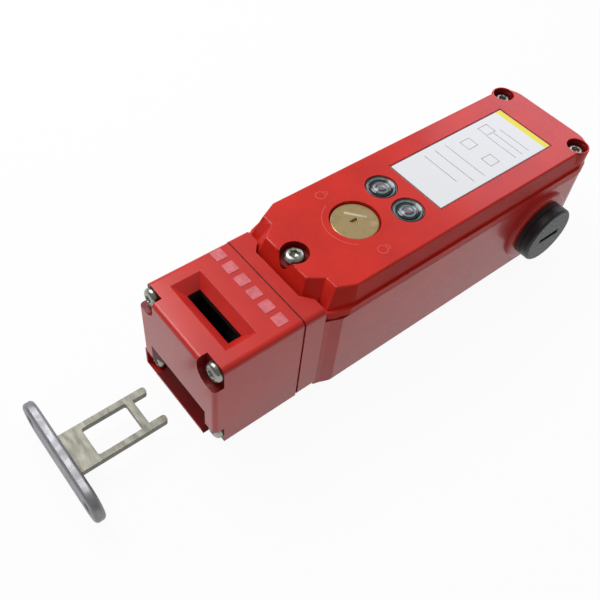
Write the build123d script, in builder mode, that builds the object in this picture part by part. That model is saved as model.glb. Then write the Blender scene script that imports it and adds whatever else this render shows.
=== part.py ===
from build123d import *
from math import cos, pi, radians, sin
import os

# Frame: X across the switch, Y from the head's end face towards the tail, Z up from the mounting back.

# Head, mm
head_size = 46.0
head_length = 37.4
head_corner_r = 2.2
head_edge_r = 1.8
head_centre_z = head_size / 2

# Head slots
slot_half_width = 12.3
slot_opening = 5.4
top_slot_y = 16.1
end_slot_z = 8.5
funnel_half_width = 16.5
funnel_half_height = 6.3
funnel_depth = 4.0
end_funnel_half_width = 17.2
end_funnel_top = 17.5
end_funnel_bottom = 1.2
end_funnel_depth = 4.5

# Head cavity and cam bearing
cavity_half_width = 13.2
cavity_front_y = top_slot_y - slot_opening / 2
cavity_floor_z = end_slot_z - slot_opening / 2
cavity_roof_z = 39.0
cam_y = 26.5
cam_z = 19.0
axle_r = 2.5
running_gap = 0.05
axle_half_length = 16.2
axle_groove_x = 16.4

# Corner screws of the head
head_screw_offset = 18.7
head_notch_r = 5.2
head_notch_depth = 4.2
head_screw_head_r = 4.0
head_screw_head_h = 2.3
head_screw_r = 2.0
head_screw_hole_r = 2.25
head_screw_length = 8.0

# Joint between head and housing
head_gasket_t = 0.5
housing_y = head_length + head_gasket_t

# Housing
neck_height = 46.0
neck_end_y = 46.8
body_half_width = 25.75
neck_half_width = body_half_width - 2.45
body_chamfer_y = 54.8
total_length = 193.6
parting_z = 39.6
tail_corner_r = 8.0
wall = 3.2
floor_t = 4.2
room_half_width = body_half_width - wall
cavity_end_y = total_length - 4.0
cavity_start_y = 50.5
neck_wall_y = 42.2

# Lid
lid_gasket_t = 0.5
lid_bottom_z = parting_z + lid_gasket_t
lid_rim_top_z = 43.6
lid_top_z = 52.4
lid_roof_t = 3.0
lid_rim_half_width = body_half_width + 0.15
lid_wall_half_width = body_half_width - 0.75
lid_top_half_width = body_half_width - 1.8

# Lid screws
front_screw_y = 50.6
front_bore_r = 5.4
tail_screw_x = lid_top_half_width - 3.35
tail_screw_y = total_length - 8.4
tail_bore_r = 4.6
lid_screw_head_r = 3.8
lid_screw_head_h = 2.6
lid_screw_r = 1.9
lid_screw_hole_r = 2.2
lid_screw_length = 16.0
front_screw_head_z = 49.9
tail_screw_head_z = 48.9

# Release rotor
rotor_y = 79.0
rotor_disc_r = 9.4
rotor_disc_t = 1.6
rotor_dish_r = 9.8
rotor_top_z = 51.6
rotor_shaft_r = 4.0
rotor_cam_z = 24.0
rotor_cam_t = 4.0
rotor_cam_min_r = 4.5
rotor_cam_max_r = 8.0

# Indicators
indicator_x = 7.5
indicator_y = 99.1
indicator_ring_r = 6.4
indicator_lens_r = 4.3

# Rating label
label_half_width = 14.2
label_start_y = 109.9
label_end_y = 175.4
label_strip = 3.2
label_t = 0.5
label_recess = 0.6

# Conduit entries
entry_y = 166.0
entry_z = 21.0
entry_r = 9.25
entry_boss_half = 17.0
entry_boss_x = body_half_width + 3.25
plug_flange_r = 13.2
plug_flange_t = 4.6
plug_seal_t = 0.8
tail_entry_z = 20.0
tail_entry_length = 10.0
tail_entry_boss_r = 12.2

# Mounting holes in the housing floor
mount_spacing_x = 30.0
mount_spacing_y = 100.0
mount_centre_y = 120.5
mount_hole_r = 2.65

# Tongue
tongue_z = end_slot_z
blade_t = 2.5
blade_half_width = 8.55
blade_back_y = -44.4
blade_tip_y = -9.6
window_half_width = 6.1
window_start_y = -36.0
window_end_y = -18.6
cross_bar_end_y = -15.8
prong_width = 3.0
flange_t = 4.0
flange_front_y = blade_back_y - flange_t
flange_half_length = 26.0
flange_height = 16.2
flange_hole_edge = 6.0
flange_hole_spacing = 2 * (flange_half_length - flange_hole_edge)
flange_hole_r = 2.65

# Cam
cam_reach = 8.8
cam_low = 5.6
cam_half_width = 5.0
cam_sleeve_r = 5.4
cam_sleeve_half_width = 12.8
cam_tooth_r = 12.5
cam_tooth_angle = 65.0
cam_tooth_half = 1.6
lock_disc_x = 7.0
lock_disc_t = 4.0
lock_disc_r = 8.6

# Plunger and contacts
plunger_r = 3.0
plunger_gap = 0.35
plunger_z = cam_z
carrier_y = 47.0
carrier_end_y = 60.0
carrier_half = 4.0
bridge_t = 1.0
bridge_height = 3.0
bridge_front_y = 50.5
bridge_rear_y = 56.5
bridge_reach = 13.0
strip_t = 0.8
strip_gap = 0.3
strip_height = 13.5
spring_seat_y = 65.8
block_side = room_half_width - 2.55

# Lock bolt
bolt_x = 9.0
bolt_r = 2.0
bolt_tip_y = 35.8
armature_r = 4.0
armature_y = 97.0
coil_y = 106.0
armature_step_y = coil_y + 2.0
coil_length = 26.0
coil_clearance = 1.15
bobbin_r = room_half_width - bolt_x - coil_clearance
coil_r = bobbin_r - 0.8
armature_end_y = coil_y + coil_length - 2.0

# Terminal block
terminal_y = coil_y + coil_length + 17.0
terminal_half_width = room_half_width - 5.55


def at_x(x):
    return Plane.YZ.offset(x)


def at_y(y):
    return Plane.XZ.offset(-y)


def at_z(z):
    return Plane.XY.offset(z)


def body_outline(front, chamfer, y_shift, half_width, end_y, corner):
    right = [(front, neck_end_y + y_shift), (half_width - chamfer, neck_end_y + y_shift + 2.6)]
    right += [(half_width, body_chamfer_y + y_shift * 2)]
    steps = 6
    for i in range(steps + 1):
        turn = pi / 2 * i / steps
        right += [(half_width - corner + corner * cos(turn), end_y - corner + corner * sin(turn))]
    left = [(-x, y) for x, y in reversed(right)]
    return right + left


# Head casting: square block with a tongue slot on two faces, cam cavity open to the joint
with BuildPart() as head_casting:
    with BuildSketch(at_y(0)):
        with Locations((0, head_centre_z)):
            Rectangle(head_size, head_size)
    extrude(amount=-head_length)
    fillet(head_casting.edges().filter_by(Axis.Y).group_by(Axis.Z)[-1], head_corner_r)
    # the back stays sharp-edged, the other three edges of the end face are rounded
    fillet(head_casting.faces().sort_by(Axis.Y)[0].edges().filter_by(lambda e: e.center().Z > 1), head_edge_r)
    # cam cavity
    with BuildSketch(at_z(cavity_floor_z)):
        with Locations((0, (cavity_front_y + head_length + 1) / 2)):
            Rectangle(2 * cavity_half_width, head_length + 1 - cavity_front_y)
    extrude(amount=cavity_roof_z - cavity_floor_z, mode=Mode.SUBTRACT)
    # top slot with its sloped mouth
    with BuildSketch(at_z(cavity_roof_z - 1)):
        with Locations((0, top_slot_y)):
            Rectangle(2 * slot_half_width, slot_opening)
    extrude(amount=head_size - cavity_roof_z + 2, mode=Mode.SUBTRACT)
    with BuildSketch(at_z(head_size - funnel_depth)):
        with Locations((0, top_slot_y)):
            Rectangle(2 * slot_half_width, slot_opening)
    with BuildSketch(at_z(head_size + 0.01)):
        with Locations((0, top_slot_y - 0.5)):
            Rectangle(2 * funnel_half_width, 2 * funnel_half_height)
    loft(mode=Mode.SUBTRACT)
    # end slot with its sloped mouth
    with BuildSketch(at_y(-1)):
        with Locations((0, end_slot_z)):
            Rectangle(2 * slot_half_width, slot_opening)
    extrude(amount=-(cavity_front_y + 2), mode=Mode.SUBTRACT)
    with BuildSketch(at_y(end_funnel_depth)):
        with Locations((0, end_slot_z)):
            Rectangle(2 * slot_half_width, slot_opening)
    with BuildSketch(at_y(-0.01)):
        with Locations((0, (end_funnel_top + end_funnel_bottom) / 2)):
            Rectangle(2 * end_funnel_half_width, end_funnel_top - end_funnel_bottom)
    loft(mode=Mode.SUBTRACT)
    # corner pockets and through holes for the head screws
    for sx in (-1, 1):
        for sz in (-1, 1):
            cx = sx * head_screw_offset
            cz = head_centre_z + sz * head_screw_offset
            with BuildSketch(at_y(-1)):
                with Locations((cx, cz)):
                    Circle(head_notch_r)
                with Locations((cx + sx * 3, cz + sz * 3)):
                    Rectangle(2 * head_notch_r, 2 * head_notch_r)
                with Locations((cx + sx * 4, cz)):
                    Rectangle(8, 2 * head_notch_r)
                if sz > 0:
                    with Locations((cx, cz + sz * 4)):
                        Rectangle(2 * head_notch_r, 8)
            extrude(amount=-(head_notch_depth + 1), mode=Mode.SUBTRACT)
            with BuildSketch(at_y(0)):
                with Locations((cx, cz)):
                    Circle(head_screw_hole_r)
            extrude(amount=-(head_length + 1), mode=Mode.SUBTRACT)
    # grooves that take the cam axle from the joint side
    for sx in (-1, 1):
        with BuildSketch(at_x(sx * (cavity_half_width - 0.5))):
            with Locations((cam_y, cam_z)):
                Circle(axle_r + 0.02)
            with Locations(((cam_y + head_length + 1) / 2, cam_z)):
                Rectangle(head_length + 1 - cam_y, 2 * axle_r + 0.04)
        extrude(amount=sx * (axle_groove_x - cavity_half_width + 0.5), mode=Mode.SUBTRACT)
head_casting.part.label = "head_casting"

# Marking pads on the head's top face, a row of thin raised tiles
with BuildPart() as head_pads:
    with BuildSketch(at_z(head_size)):
        with Locations((-1.1, 31.3)):
            with GridLocations(7.1, 1, 6, 1):
                RectangleRounded(4.9, 4.6, 0.5)
    extrude(amount=0.15)
head_pads.part.label = "head_pads"

# Gasket between head and housing
with BuildPart() as head_gasket:
    with BuildSketch(at_y(head_length)):
        with Locations((0, head_centre_z)):
            RectangleRounded(head_size - 0.8, head_size - 0.8, head_corner_r)
        with Locations((0, (cavity_floor_z + cavity_roof_z) / 2)):
            Rectangle(2 * axle_groove_x, cavity_roof_z - cavity_floor_z, mode=Mode.SUBTRACT)
        with Locations((0, head_centre_z)):
            with GridLocations(2 * head_screw_offset, 2 * head_screw_offset, 2, 2):
                Circle(head_screw_hole_r, mode=Mode.SUBTRACT)
    extrude(amount=-head_gasket_t)
head_gasket.part.label = "head_gasket"

# Four pan-head screws with star sockets that hold the head
with BuildPart() as head_screws:
    with BuildSketch(at_y(head_notch_depth - head_screw_head_h)):
        with Locations((0, head_centre_z)):
            with GridLocations(2 * head_screw_offset, 2 * head_screw_offset, 2, 2):
                Circle(head_screw_head_r)
    extrude(amount=-head_screw_head_h)
    chamfer(head_screws.faces().filter_by(Plane.XZ).sort_by(Axis.Y)[:4].edges(), 0.7)
    with BuildSketch(at_y(head_notch_depth)):
        with Locations((0, head_centre_z)):
            with GridLocations(2 * head_screw_offset, 2 * head_screw_offset, 2, 2):
                Circle(head_screw_r)
    extrude(amount=-(housing_y + head_screw_length - head_notch_depth))
    with BuildSketch(at_y(0)):
        with Locations((0, head_centre_z)):
            with GridLocations(2 * head_screw_offset, 2 * head_screw_offset, 2, 2):
                RegularPolygon(1.7, 6)
                RegularPolygon(1.7, 6, rotation=30)
    extrude(amount=-(head_notch_depth - head_screw_head_h + 1.5), mode=Mode.SUBTRACT)
head_screws.part.label = "head_screws"

# Axle that carries the cam between the head's cheeks
with BuildPart() as cam_axle:
    with BuildSketch(at_x(-axle_half_length)):
        with Locations((cam_y, cam_z)):
            Circle(axle_r)
    extrude(amount=2 * axle_half_length)
    chamfer(cam_axle.edges().filter_by(GeomType.CIRCLE), 0.4)
cam_axle.part.label = "cam_axle"

# Blocks that close the axle grooves behind the axle
with BuildPart() as axle_retainers:
    for sx in (-1, 1):
        with BuildSketch(at_x(sx * (cavity_half_width + 0.1))):
            with Locations(((cam_y + axle_r + head_length) / 2, cam_z)):
                Rectangle(head_length - cam_y - axle_r - 0.1, 2 * axle_r)
        extrude(amount=sx * (axle_groove_x - cavity_half_width - 0.2))
axle_retainers.part.label = "axle_retainers"

# Cam: hub, spiral disc with the driving tooth, and the lock sector
spiral = []
for i in range(19):
    angle = radians(-10 * i)
    reach = cam_reach - (cam_reach - cam_low) * i / 18
    spiral.append((cam_y + reach * cos(angle), cam_z + reach * sin(angle)))
upper = []
for i in range(5):
    angle = radians(cam_tooth_angle * 0.82 * (1 - i / 4))
    upper.append((cam_y + cam_reach * cos(angle), cam_z + cam_reach * sin(angle)))
lower = []
for i in range(7):
    angle = radians(180 - (180 - cam_tooth_angle - 25) * i / 6)
    lower.append((cam_y + cam_low * cos(angle), cam_z + cam_low * sin(angle)))
tooth_turn = radians(cam_tooth_angle)


def tooth_point(along, side):
    y = cam_y + along * cos(tooth_turn) - side * sin(tooth_turn)
    z = cam_z + along * sin(tooth_turn) + side * cos(tooth_turn)
    return (y, z)


with BuildPart() as cam:
    with BuildSketch(at_x(-cam_half_width)):
        with BuildLine():
            Spline(*spiral)
            Polyline(*lower)
            Polyline(lower[-1], tooth_point(cam_low, 2.8), tooth_point(cam_tooth_r - 1, cam_tooth_half))
            ThreePointArc(
                tooth_point(cam_tooth_r - 1, cam_tooth_half),
                tooth_point(cam_tooth_r, 0),
                tooth_point(cam_tooth_r - 1, -cam_tooth_half),
            )
            Polyline(tooth_point(cam_tooth_r - 1, -cam_tooth_half), tooth_point(cam_reach, -2.4), upper[0])
            Spline(*upper)
        make_face()
    extrude(amount=2 * cam_half_width)
    with BuildSketch(at_x(-cam_half_width - 1)):
        with Locations((cam_y, cam_z)):
            Circle(cam_sleeve_r)
    extrude(amount=2 * cam_half_width + 2, mode=Mode.SUBTRACT)
cam.part.label = "cam"

# Sleeve through the cam, running on the axle
with BuildPart() as cam_sleeve:
    with BuildSketch(at_x(-cam_sleeve_half_width)):
        with Locations((cam_y, cam_z)):
            Circle(cam_sleeve_r)
            Circle(axle_r + running_gap, mode=Mode.SUBTRACT)
    extrude(amount=2 * cam_sleeve_half_width)
cam_sleeve.part.label = "cam_sleeve"

# Lock sector on the sleeve, the piece that the lock bolt stops
with BuildPart() as lock_sector:
    with BuildSketch(at_x(lock_disc_x)):
        with BuildLine():
            start = (cam_y + lock_disc_r * cos(radians(-22)), cam_z + lock_disc_r * sin(radians(-22)))
            finish = (cam_y + lock_disc_r * cos(radians(-158)), cam_z + lock_disc_r * sin(radians(-158)))
            ThreePointArc(start, (cam_y, cam_z - lock_disc_r), finish)
            Polyline(finish, (cam_y, cam_z), start)
        make_face()
        with Locations((cam_y, cam_z)):
            Circle(cam_sleeve_r, mode=Mode.SUBTRACT)
    extrude(amount=lock_disc_t)
lock_sector.part.label = "lock_sector"

# Housing: neck, long body with conduit bosses, open on top
with BuildPart() as housing:
    with BuildSketch(at_y(housing_y)):
        with Locations((0, neck_height / 2)):
            RectangleRounded(2 * neck_half_width, neck_height, head_corner_r)
    extrude(amount=-(neck_end_y - housing_y))
    with BuildSketch(at_z(0)):
        with BuildLine():
            Polyline(*body_outline(neck_half_width - 0.2, 1.9, -0.8, body_half_width, total_length, tail_corner_r), close=True)
        make_face()
    extrude(amount=parting_z)
    fillet(housing.faces().filter_by(Axis.Z).sort_by(Axis.Z)[0].edges().filter_by(Axis.Y), 1.0)
    # conduit bosses run up to the parting line
    for sx in (-1, 1):
        with BuildSketch(at_x(sx * (body_half_width - 1))):
            with Locations((entry_y, entry_z)):
                Circle(entry_boss_half)
            with Locations((entry_y, (entry_z + parting_z) / 2)):
                Rectangle(2 * entry_boss_half, parting_z - entry_z)
        extrude(amount=sx * (entry_boss_x - body_half_width + 1), taper=8)
    # main cavity
    with BuildSketch(at_z(floor_t)):
        with Locations((0, (cavity_start_y + cavity_end_y) / 2)):
            RectangleRounded(2 * room_half_width, cavity_end_y - cavity_start_y, 4.0)
    extrude(amount=parting_z, mode=Mode.SUBTRACT)
    # neck room behind the front wall
    with BuildSketch(at_y(neck_wall_y)):
        with Locations((0, 20.0)):
            Rectangle(30.0, 26.0)
    extrude(amount=-(cavity_start_y - neck_wall_y + 1), mode=Mode.SUBTRACT)
    # ledge that takes the front boss of the lid
    with BuildSketch(at_z(42.4)):
        with BuildLine():
            Polyline((-17.4, 47.5), (-12.4, 43.1), (12.4, 43.1), (17.4, 47.5), close=True)
        make_face()
    extrude(amount=5, mode=Mode.SUBTRACT)
    # screw posts
    with BuildSketch(at_z(floor_t)):
        with Locations((0, front_screw_y + 0.6)):
            Rectangle(12, 9)
        with Locations((1.0 - tail_screw_x, tail_screw_y), (tail_screw_x - 1.0, tail_screw_y)):
            Rectangle(8, 9.5)
    extrude(amount=parting_z - floor_t)
    with BuildSketch(at_y(neck_wall_y)):
        with Locations((0, 20.0)):
            Rectangle(22.6, 26.0)
    extrude(amount=-(cavity_start_y + 6 - neck_wall_y), mode=Mode.SUBTRACT)
    with BuildSketch(at_z(parting_z - 14)):
        with Locations((0, front_screw_y), (-tail_screw_x, tail_screw_y), (tail_screw_x, tail_screw_y)):
            Circle(lid_screw_r + 0.02)
    extrude(amount=20, mode=Mode.SUBTRACT)
    # tapped holes for the head screws
    with BuildSketch(at_y(housing_y - 1)):
        with Locations((0, head_centre_z)):
            with GridLocations(2 * head_screw_offset, 2 * head_screw_offset, 2, 2):
                Circle(head_screw_r + 0.02)
    extrude(amount=-(head_screw_length + 1.3), mode=Mode.SUBTRACT)
    # seats of the two guide bushes
    with BuildSketch(at_y(housing_y - 1)):
        with Locations((0, plunger_z)):
            Circle(4.97 + 0.01)
        with Locations((bolt_x, plunger_z)):
            Circle(3.4 + 0.01)
    extrude(amount=-(neck_wall_y - housing_y + 2), mode=Mode.SUBTRACT)
    # conduit entries, two on the sides and one at the tail
    with BuildSketch(at_x(-entry_boss_x - 1)):
        with Locations((entry_y, entry_z)):
            Circle(entry_r)
    extrude(amount=2 * entry_boss_x + 2, mode=Mode.SUBTRACT)
    with BuildSketch(at_y(total_length - tail_entry_length)):
        with Locations((0, tail_entry_z)):
            Circle(tail_entry_boss_r)
    extrude(amount=-(tail_entry_length - 1))
    with BuildSketch(at_y(total_length - tail_entry_length - 1)):
        with Locations((0, tail_entry_z)):
            Circle(entry_r)
    extrude(amount=-(tail_entry_length + 2), mode=Mode.SUBTRACT)
    # mounting holes in the floor
    with BuildSketch(at_z(-1)):
        with Locations((0, mount_centre_y)):
            with GridLocations(mount_spacing_x, mount_spacing_y, 2, 2):
                Circle(mount_hole_r)
    extrude(amount=floor_t + 2, mode=Mode.SUBTRACT)
housing.part.label = "housing"

# Rubber gasket between housing and lid
with BuildPart() as lid_gasket:
    with BuildSketch(at_z(parting_z)):
        with BuildLine():
            outer = body_outline(neck_half_width - 0.7, 1.9, 0.4, body_half_width - 0.5, total_length - 0.5, tail_corner_r)
            Polyline(*outer, close=True)
        make_face()
        with Locations((0, (56.5 + total_length - 14.6) / 2)):
            Rectangle(2 * room_half_width - 1.4, total_length - 14.6 - 56.5, mode=Mode.SUBTRACT)
        with Locations((0, front_screw_y), (-tail_screw_x, tail_screw_y), (tail_screw_x, tail_screw_y)):
            Circle(lid_screw_hole_r, mode=Mode.SUBTRACT)
        with Locations((0, total_length - 9.1)):
            Rectangle(2 * (tail_screw_x - 6.6), 8, mode=Mode.SUBTRACT)
    extrude(amount=lid_gasket_t)
lid_gasket.part.label = "lid_gasket"

# Lid: rim, drafted wall with a stepped and sloped front, raised front boss
lid_wall_outline = [(12.6, 44.2), (17.6, 47.4), (lid_wall_half_width - 3.1, 48.2), (lid_wall_half_width, 58.2)]
lid_top_outline = [(11.4, 46.4), (15.3, 52.1), (lid_top_half_width - 3.35, 52.3), (lid_top_half_width, 59.4)]


def lid_outline(front, half_width, end_y, corner):
    right = list(front)
    steps = 5
    for i in range(steps + 1):
        turn = pi / 2 * i / steps
        right += [(half_width - corner + corner * cos(turn), end_y - corner + corner * sin(turn))]
    return right + [(-x, y) for x, y in reversed(right)]


with BuildPart() as lid:
    with BuildSketch(at_z(lid_bottom_z)):
        with BuildLine():
            rim = body_outline(neck_half_width - 0.6, 1.8, 0.6, lid_rim_half_width, total_length + 0.15, tail_corner_r)
            Polyline(*rim, close=True)
        make_face()
    extrude(amount=lid_rim_top_z - lid_bottom_z)
    with BuildSketch(at_z(lid_rim_top_z)):
        with BuildLine():
            Polyline(
                *lid_outline(lid_wall_outline, lid_wall_half_width, total_length - 0.4, tail_corner_r),
                close=True,
            )
        make_face()
    with BuildSketch(at_z(lid_top_z)):
        with BuildLine():
            Polyline(
                *lid_outline(lid_top_outline, lid_top_half_width, total_length - 1.6, tail_corner_r),
                close=True,
            )
        make_face()
    loft(ruled=True)
    fillet(lid.faces().sort_by(Axis.Z)[-1].edges(), 0.8)
    # hollow underside
    with BuildSketch(at_z(lid_bottom_z - 1)):
        with Locations((0, (57.5 + total_length - 15.6) / 2)):
            RectangleRounded(2 * (lid_top_half_width - 3.2), total_length - 15.6 - 57.5, 3.0)
    extrude(amount=lid_top_z - lid_roof_t - lid_bottom_z + 1, mode=Mode.SUBTRACT)
    # boss under the roof for the release rotor
    with BuildSketch(at_z(lid_top_z - lid_roof_t - 3)):
        with Locations((0, rotor_y)):
            Circle(rotor_dish_r + 2)
    extrude(amount=4)
    with BuildSketch(at_z(rotor_top_z - rotor_disc_t - 0.3)):
        with Locations((0, rotor_y)):
            Circle(rotor_dish_r)
    extrude(amount=5, mode=Mode.SUBTRACT)
    with BuildSketch(at_z(lid_top_z - lid_roof_t - 5)):
        with Locations((0, rotor_y)):
            Circle(rotor_shaft_r + running_gap)
    extrude(amount=8, mode=Mode.SUBTRACT)
    # indicator seats
    with BuildSketch(at_z(lid_top_z - 1.5)):
        with Locations((-indicator_x, indicator_y), (indicator_x, indicator_y)):
            Circle(indicator_ring_r + 0.1)
    extrude(amount=3, mode=Mode.SUBTRACT)
    with BuildSketch(at_z(lid_top_z - 6)):
        with Locations((-indicator_x, indicator_y), (indicator_x, indicator_y)):
            Circle(indicator_lens_r + 0.9)
    extrude(amount=8, mode=Mode.SUBTRACT)
    # label recess
    with BuildSketch(at_z(lid_top_z - label_recess)):
        with Locations((0, (label_start_y + label_end_y) / 2)):
            Rectangle(2 * label_half_width + 0.8, label_end_y - label_start_y + 0.8)
    extrude(amount=2, mode=Mode.SUBTRACT)
    # screw counterbores and holes
    with BuildSketch(at_z(front_screw_head_z - lid_screw_head_h)):
        with Locations((0, front_screw_y)):
            Circle(front_bore_r)
    extrude(amount=10, mode=Mode.SUBTRACT)
    with BuildSketch(at_z(tail_screw_head_z - lid_screw_head_h)):
        for sx in (-1, 1):
            with Locations((sx * tail_screw_x, tail_screw_y)):
                Circle(tail_bore_r)
    extrude(amount=10, mode=Mode.SUBTRACT)
    with BuildSketch(at_z(lid_bottom_z - 1)):
        with Locations((0, front_screw_y), (-tail_screw_x, tail_screw_y), (tail_screw_x, tail_screw_y)):
            Circle(lid_screw_hole_r)
    extrude(amount=10, mode=Mode.SUBTRACT)
lid.part.label = "lid"

# Three lid screws
with BuildPart() as lid_screws:
    for x, y, z in (
        (0, front_screw_y, front_screw_head_z),
        (-tail_screw_x, tail_screw_y, tail_screw_head_z),
        (tail_screw_x, tail_screw_y, tail_screw_head_z),
    ):
        with BuildSketch(at_z(z - lid_screw_head_h)):
            with Locations((x, y)):
                Circle(lid_screw_head_r)
        extrude(amount=lid_screw_head_h)
        with BuildSketch(at_z(z - lid_screw_head_h)):
            with Locations((x, y)):
                Circle(lid_screw_r)
        extrude(amount=-lid_screw_length)
    chamfer(lid_screws.faces().filter_by(Axis.Z).group_by(Axis.Z)[-1].edges(), 0.7)
    chamfer(lid_screws.faces().filter_by(Axis.Z).group_by(Axis.Z)[-2].edges(), 0.7)
    for x, y, z in (
        (0, front_screw_y, front_screw_head_z),
        (-tail_screw_x, tail_screw_y, tail_screw_head_z),
        (tail_screw_x, tail_screw_y, tail_screw_head_z),
    ):
        with BuildSketch(at_z(z - 1.5)):
            with Locations((x, y)):
                RegularPolygon(1.7, 6)
                RegularPolygon(1.7, 6, rotation=30)
        extrude(amount=3, mode=Mode.SUBTRACT)
lid_screws.part.label = "lid_screws"

# Indicator bezels, lenses and circuit board
with BuildPart() as indicator_bezels:
    with BuildSketch(at_z(lid_top_z - 1.5)):
        with Locations((-indicator_x, indicator_y), (indicator_x, indicator_y)):
            Circle(indicator_ring_r)
            Circle(indicator_lens_r + 0.05, mode=Mode.SUBTRACT)
    extrude(amount=1.3)
    with BuildSketch(at_z(lid_top_z - 6)):
        with Locations((-indicator_x, indicator_y), (indicator_x, indicator_y)):
            Circle(indicator_lens_r + 0.8)
            Circle(indicator_lens_r + 0.05, mode=Mode.SUBTRACT)
    extrude(amount=4.6)
indicator_bezels.part.label = "indicator_bezels"

with BuildPart() as indicator_lenses:
    with BuildSketch(at_z(lid_top_z - 9.2)):
        with Locations((-indicator_x, indicator_y), (indicator_x, indicator_y)):
            Circle(indicator_lens_r)
    extrude(amount=9.2)
    chamfer(indicator_lenses.faces().filter_by(Axis.Z).group_by(Axis.Z)[-1].edges(), 1.2)
indicator_lenses.part.label = "indicator_lenses"

with BuildPart() as indicator_board:
    with BuildSketch(at_z(lid_top_z - 10.8)):
        with Locations((0, indicator_y)):
            RectangleRounded(34, 16, 1.5)
    extrude(amount=1.6)
indicator_board.part.label = "indicator_board"

# Board posts under the lid roof
with BuildPart() as board_posts:
    with BuildSketch(at_z(lid_top_z - 9.2)):
        with Locations((0, indicator_y)):
            with GridLocations(29, 11, 2, 2):
                Circle(1.6)
    extrude(amount=9.2 - lid_roof_t)
board_posts.part.label = "board_posts"

# Label plate and its end strip, both without text
with BuildPart() as label_plate:
    with BuildSketch(at_z(lid_top_z - label_recess)):
        with Locations((0, (label_start_y + label_end_y - label_strip) / 2)):
            Rectangle(2 * label_half_width, label_end_y - label_start_y - label_strip)
    extrude(amount=label_t)
label_plate.part.label = "label_plate"

with BuildPart() as label_strip_part:
    with BuildSketch(at_z(lid_top_z - label_recess)):
        with Locations((0, label_end_y - label_strip / 2)):
            Rectangle(2 * label_half_width, label_strip)
    extrude(amount=label_t)
label_strip_part.part.label = "label_strip"

# Blanking plugs of the side entries and their seals
with BuildPart() as conduit_plugs:
    for sx in (-1, 1):
        with BuildSketch(at_x(sx * (entry_boss_x + plug_seal_t))):
            with Locations((entry_y, entry_z)):
                Circle(plug_flange_r)
        extrude(amount=sx * plug_flange_t)
        with BuildSketch(at_x(sx * (entry_boss_x + plug_seal_t))):
            with Locations((entry_y, entry_z)):
                Circle(entry_r - 0.05)
        extrude(amount=-sx * (entry_boss_x - body_half_width + wall + plug_seal_t))
    outer_faces = conduit_plugs.faces().filter_by(Axis.X).sort_by(Axis.X)
    chamfer(outer_faces[0].edges() + outer_faces[-1].edges(), 0.8)
    for sx in (-1, 1):
        with BuildSketch(at_x(sx * (entry_boss_x + plug_seal_t + plug_flange_t + 0.1))):
            with Locations((entry_y, entry_z)):
                Rectangle(12.0, 2.0)
        extrude(amount=-sx * 1.4, mode=Mode.SUBTRACT)
conduit_plugs.part.label = "conduit_plugs"

with BuildPart() as plug_seals:
    for sx in (-1, 1):
        with BuildSketch(at_x(sx * entry_boss_x)):
            with Locations((entry_y, entry_z)):
                Circle(plug_flange_r - 1.0)
                Circle(entry_r + 0.05, mode=Mode.SUBTRACT)
        extrude(amount=sx * plug_seal_t)
plug_seals.part.label = "plug_seals"

# Guide bushes of the plunger and of the lock bolt in the neck wall
with BuildPart() as guide_bushes:
    with BuildSketch(at_y(housing_y + 0.1)):
        with Locations((0, plunger_z)):
            Circle(4.97)
            Circle(plunger_r + running_gap, mode=Mode.SUBTRACT)
        with Locations((bolt_x, plunger_z)):
            Circle(3.4)
            Circle(bolt_r + running_gap, mode=Mode.SUBTRACT)
    extrude(amount=-(neck_wall_y - housing_y - 0.1))
guide_bushes.part.label = "guide_bushes"

# Plunger rod with a domed tip against the cam
plunger_tip_y = cam_y + cam_reach + plunger_gap
with BuildPart() as plunger_rod:
    with BuildSketch(at_y(plunger_tip_y + 1.5)):
        with Locations((0, plunger_z)):
            Circle(plunger_r)
    extrude(amount=-(carrier_y - plunger_tip_y - 1.5))
    with BuildSketch(at_y(plunger_tip_y + 1.5)):
        with Locations((0, plunger_z)):
            Circle(1.5)
    extrude(amount=1.5)
    fillet(plunger_rod.faces().sort_by(Axis.Y)[0].edges(), 1.3)
plunger_rod.part.label = "plunger_rod"

# Contact carrier on the plunger, with two cross slots for the bridges
with BuildPart() as contact_carrier:
    with BuildSketch(at_y(carrier_y)):
        with Locations((0, plunger_z)):
            RectangleRounded(2 * carrier_half, 2 * carrier_half, 0.8)
    extrude(amount=-(carrier_end_y - carrier_y))
    with BuildSketch(at_x(-carrier_half - 1)):
        with Locations((bridge_front_y, plunger_z), (bridge_rear_y, plunger_z)):
            Rectangle(bridge_t + 0.04, bridge_height + 0.04)
    extrude(amount=2 * carrier_half + 2, mode=Mode.SUBTRACT)
contact_carrier.part.label = "contact_carrier"

with BuildPart() as contact_bridges:
    with BuildSketch(at_x(-bridge_reach)):
        with Locations((bridge_front_y, plunger_z), (bridge_rear_y, plunger_z)):
            Rectangle(bridge_t, bridge_height)
    extrude(amount=bridge_reach + carrier_half)
contact_bridges.part.label = "contact_bridges"

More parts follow.
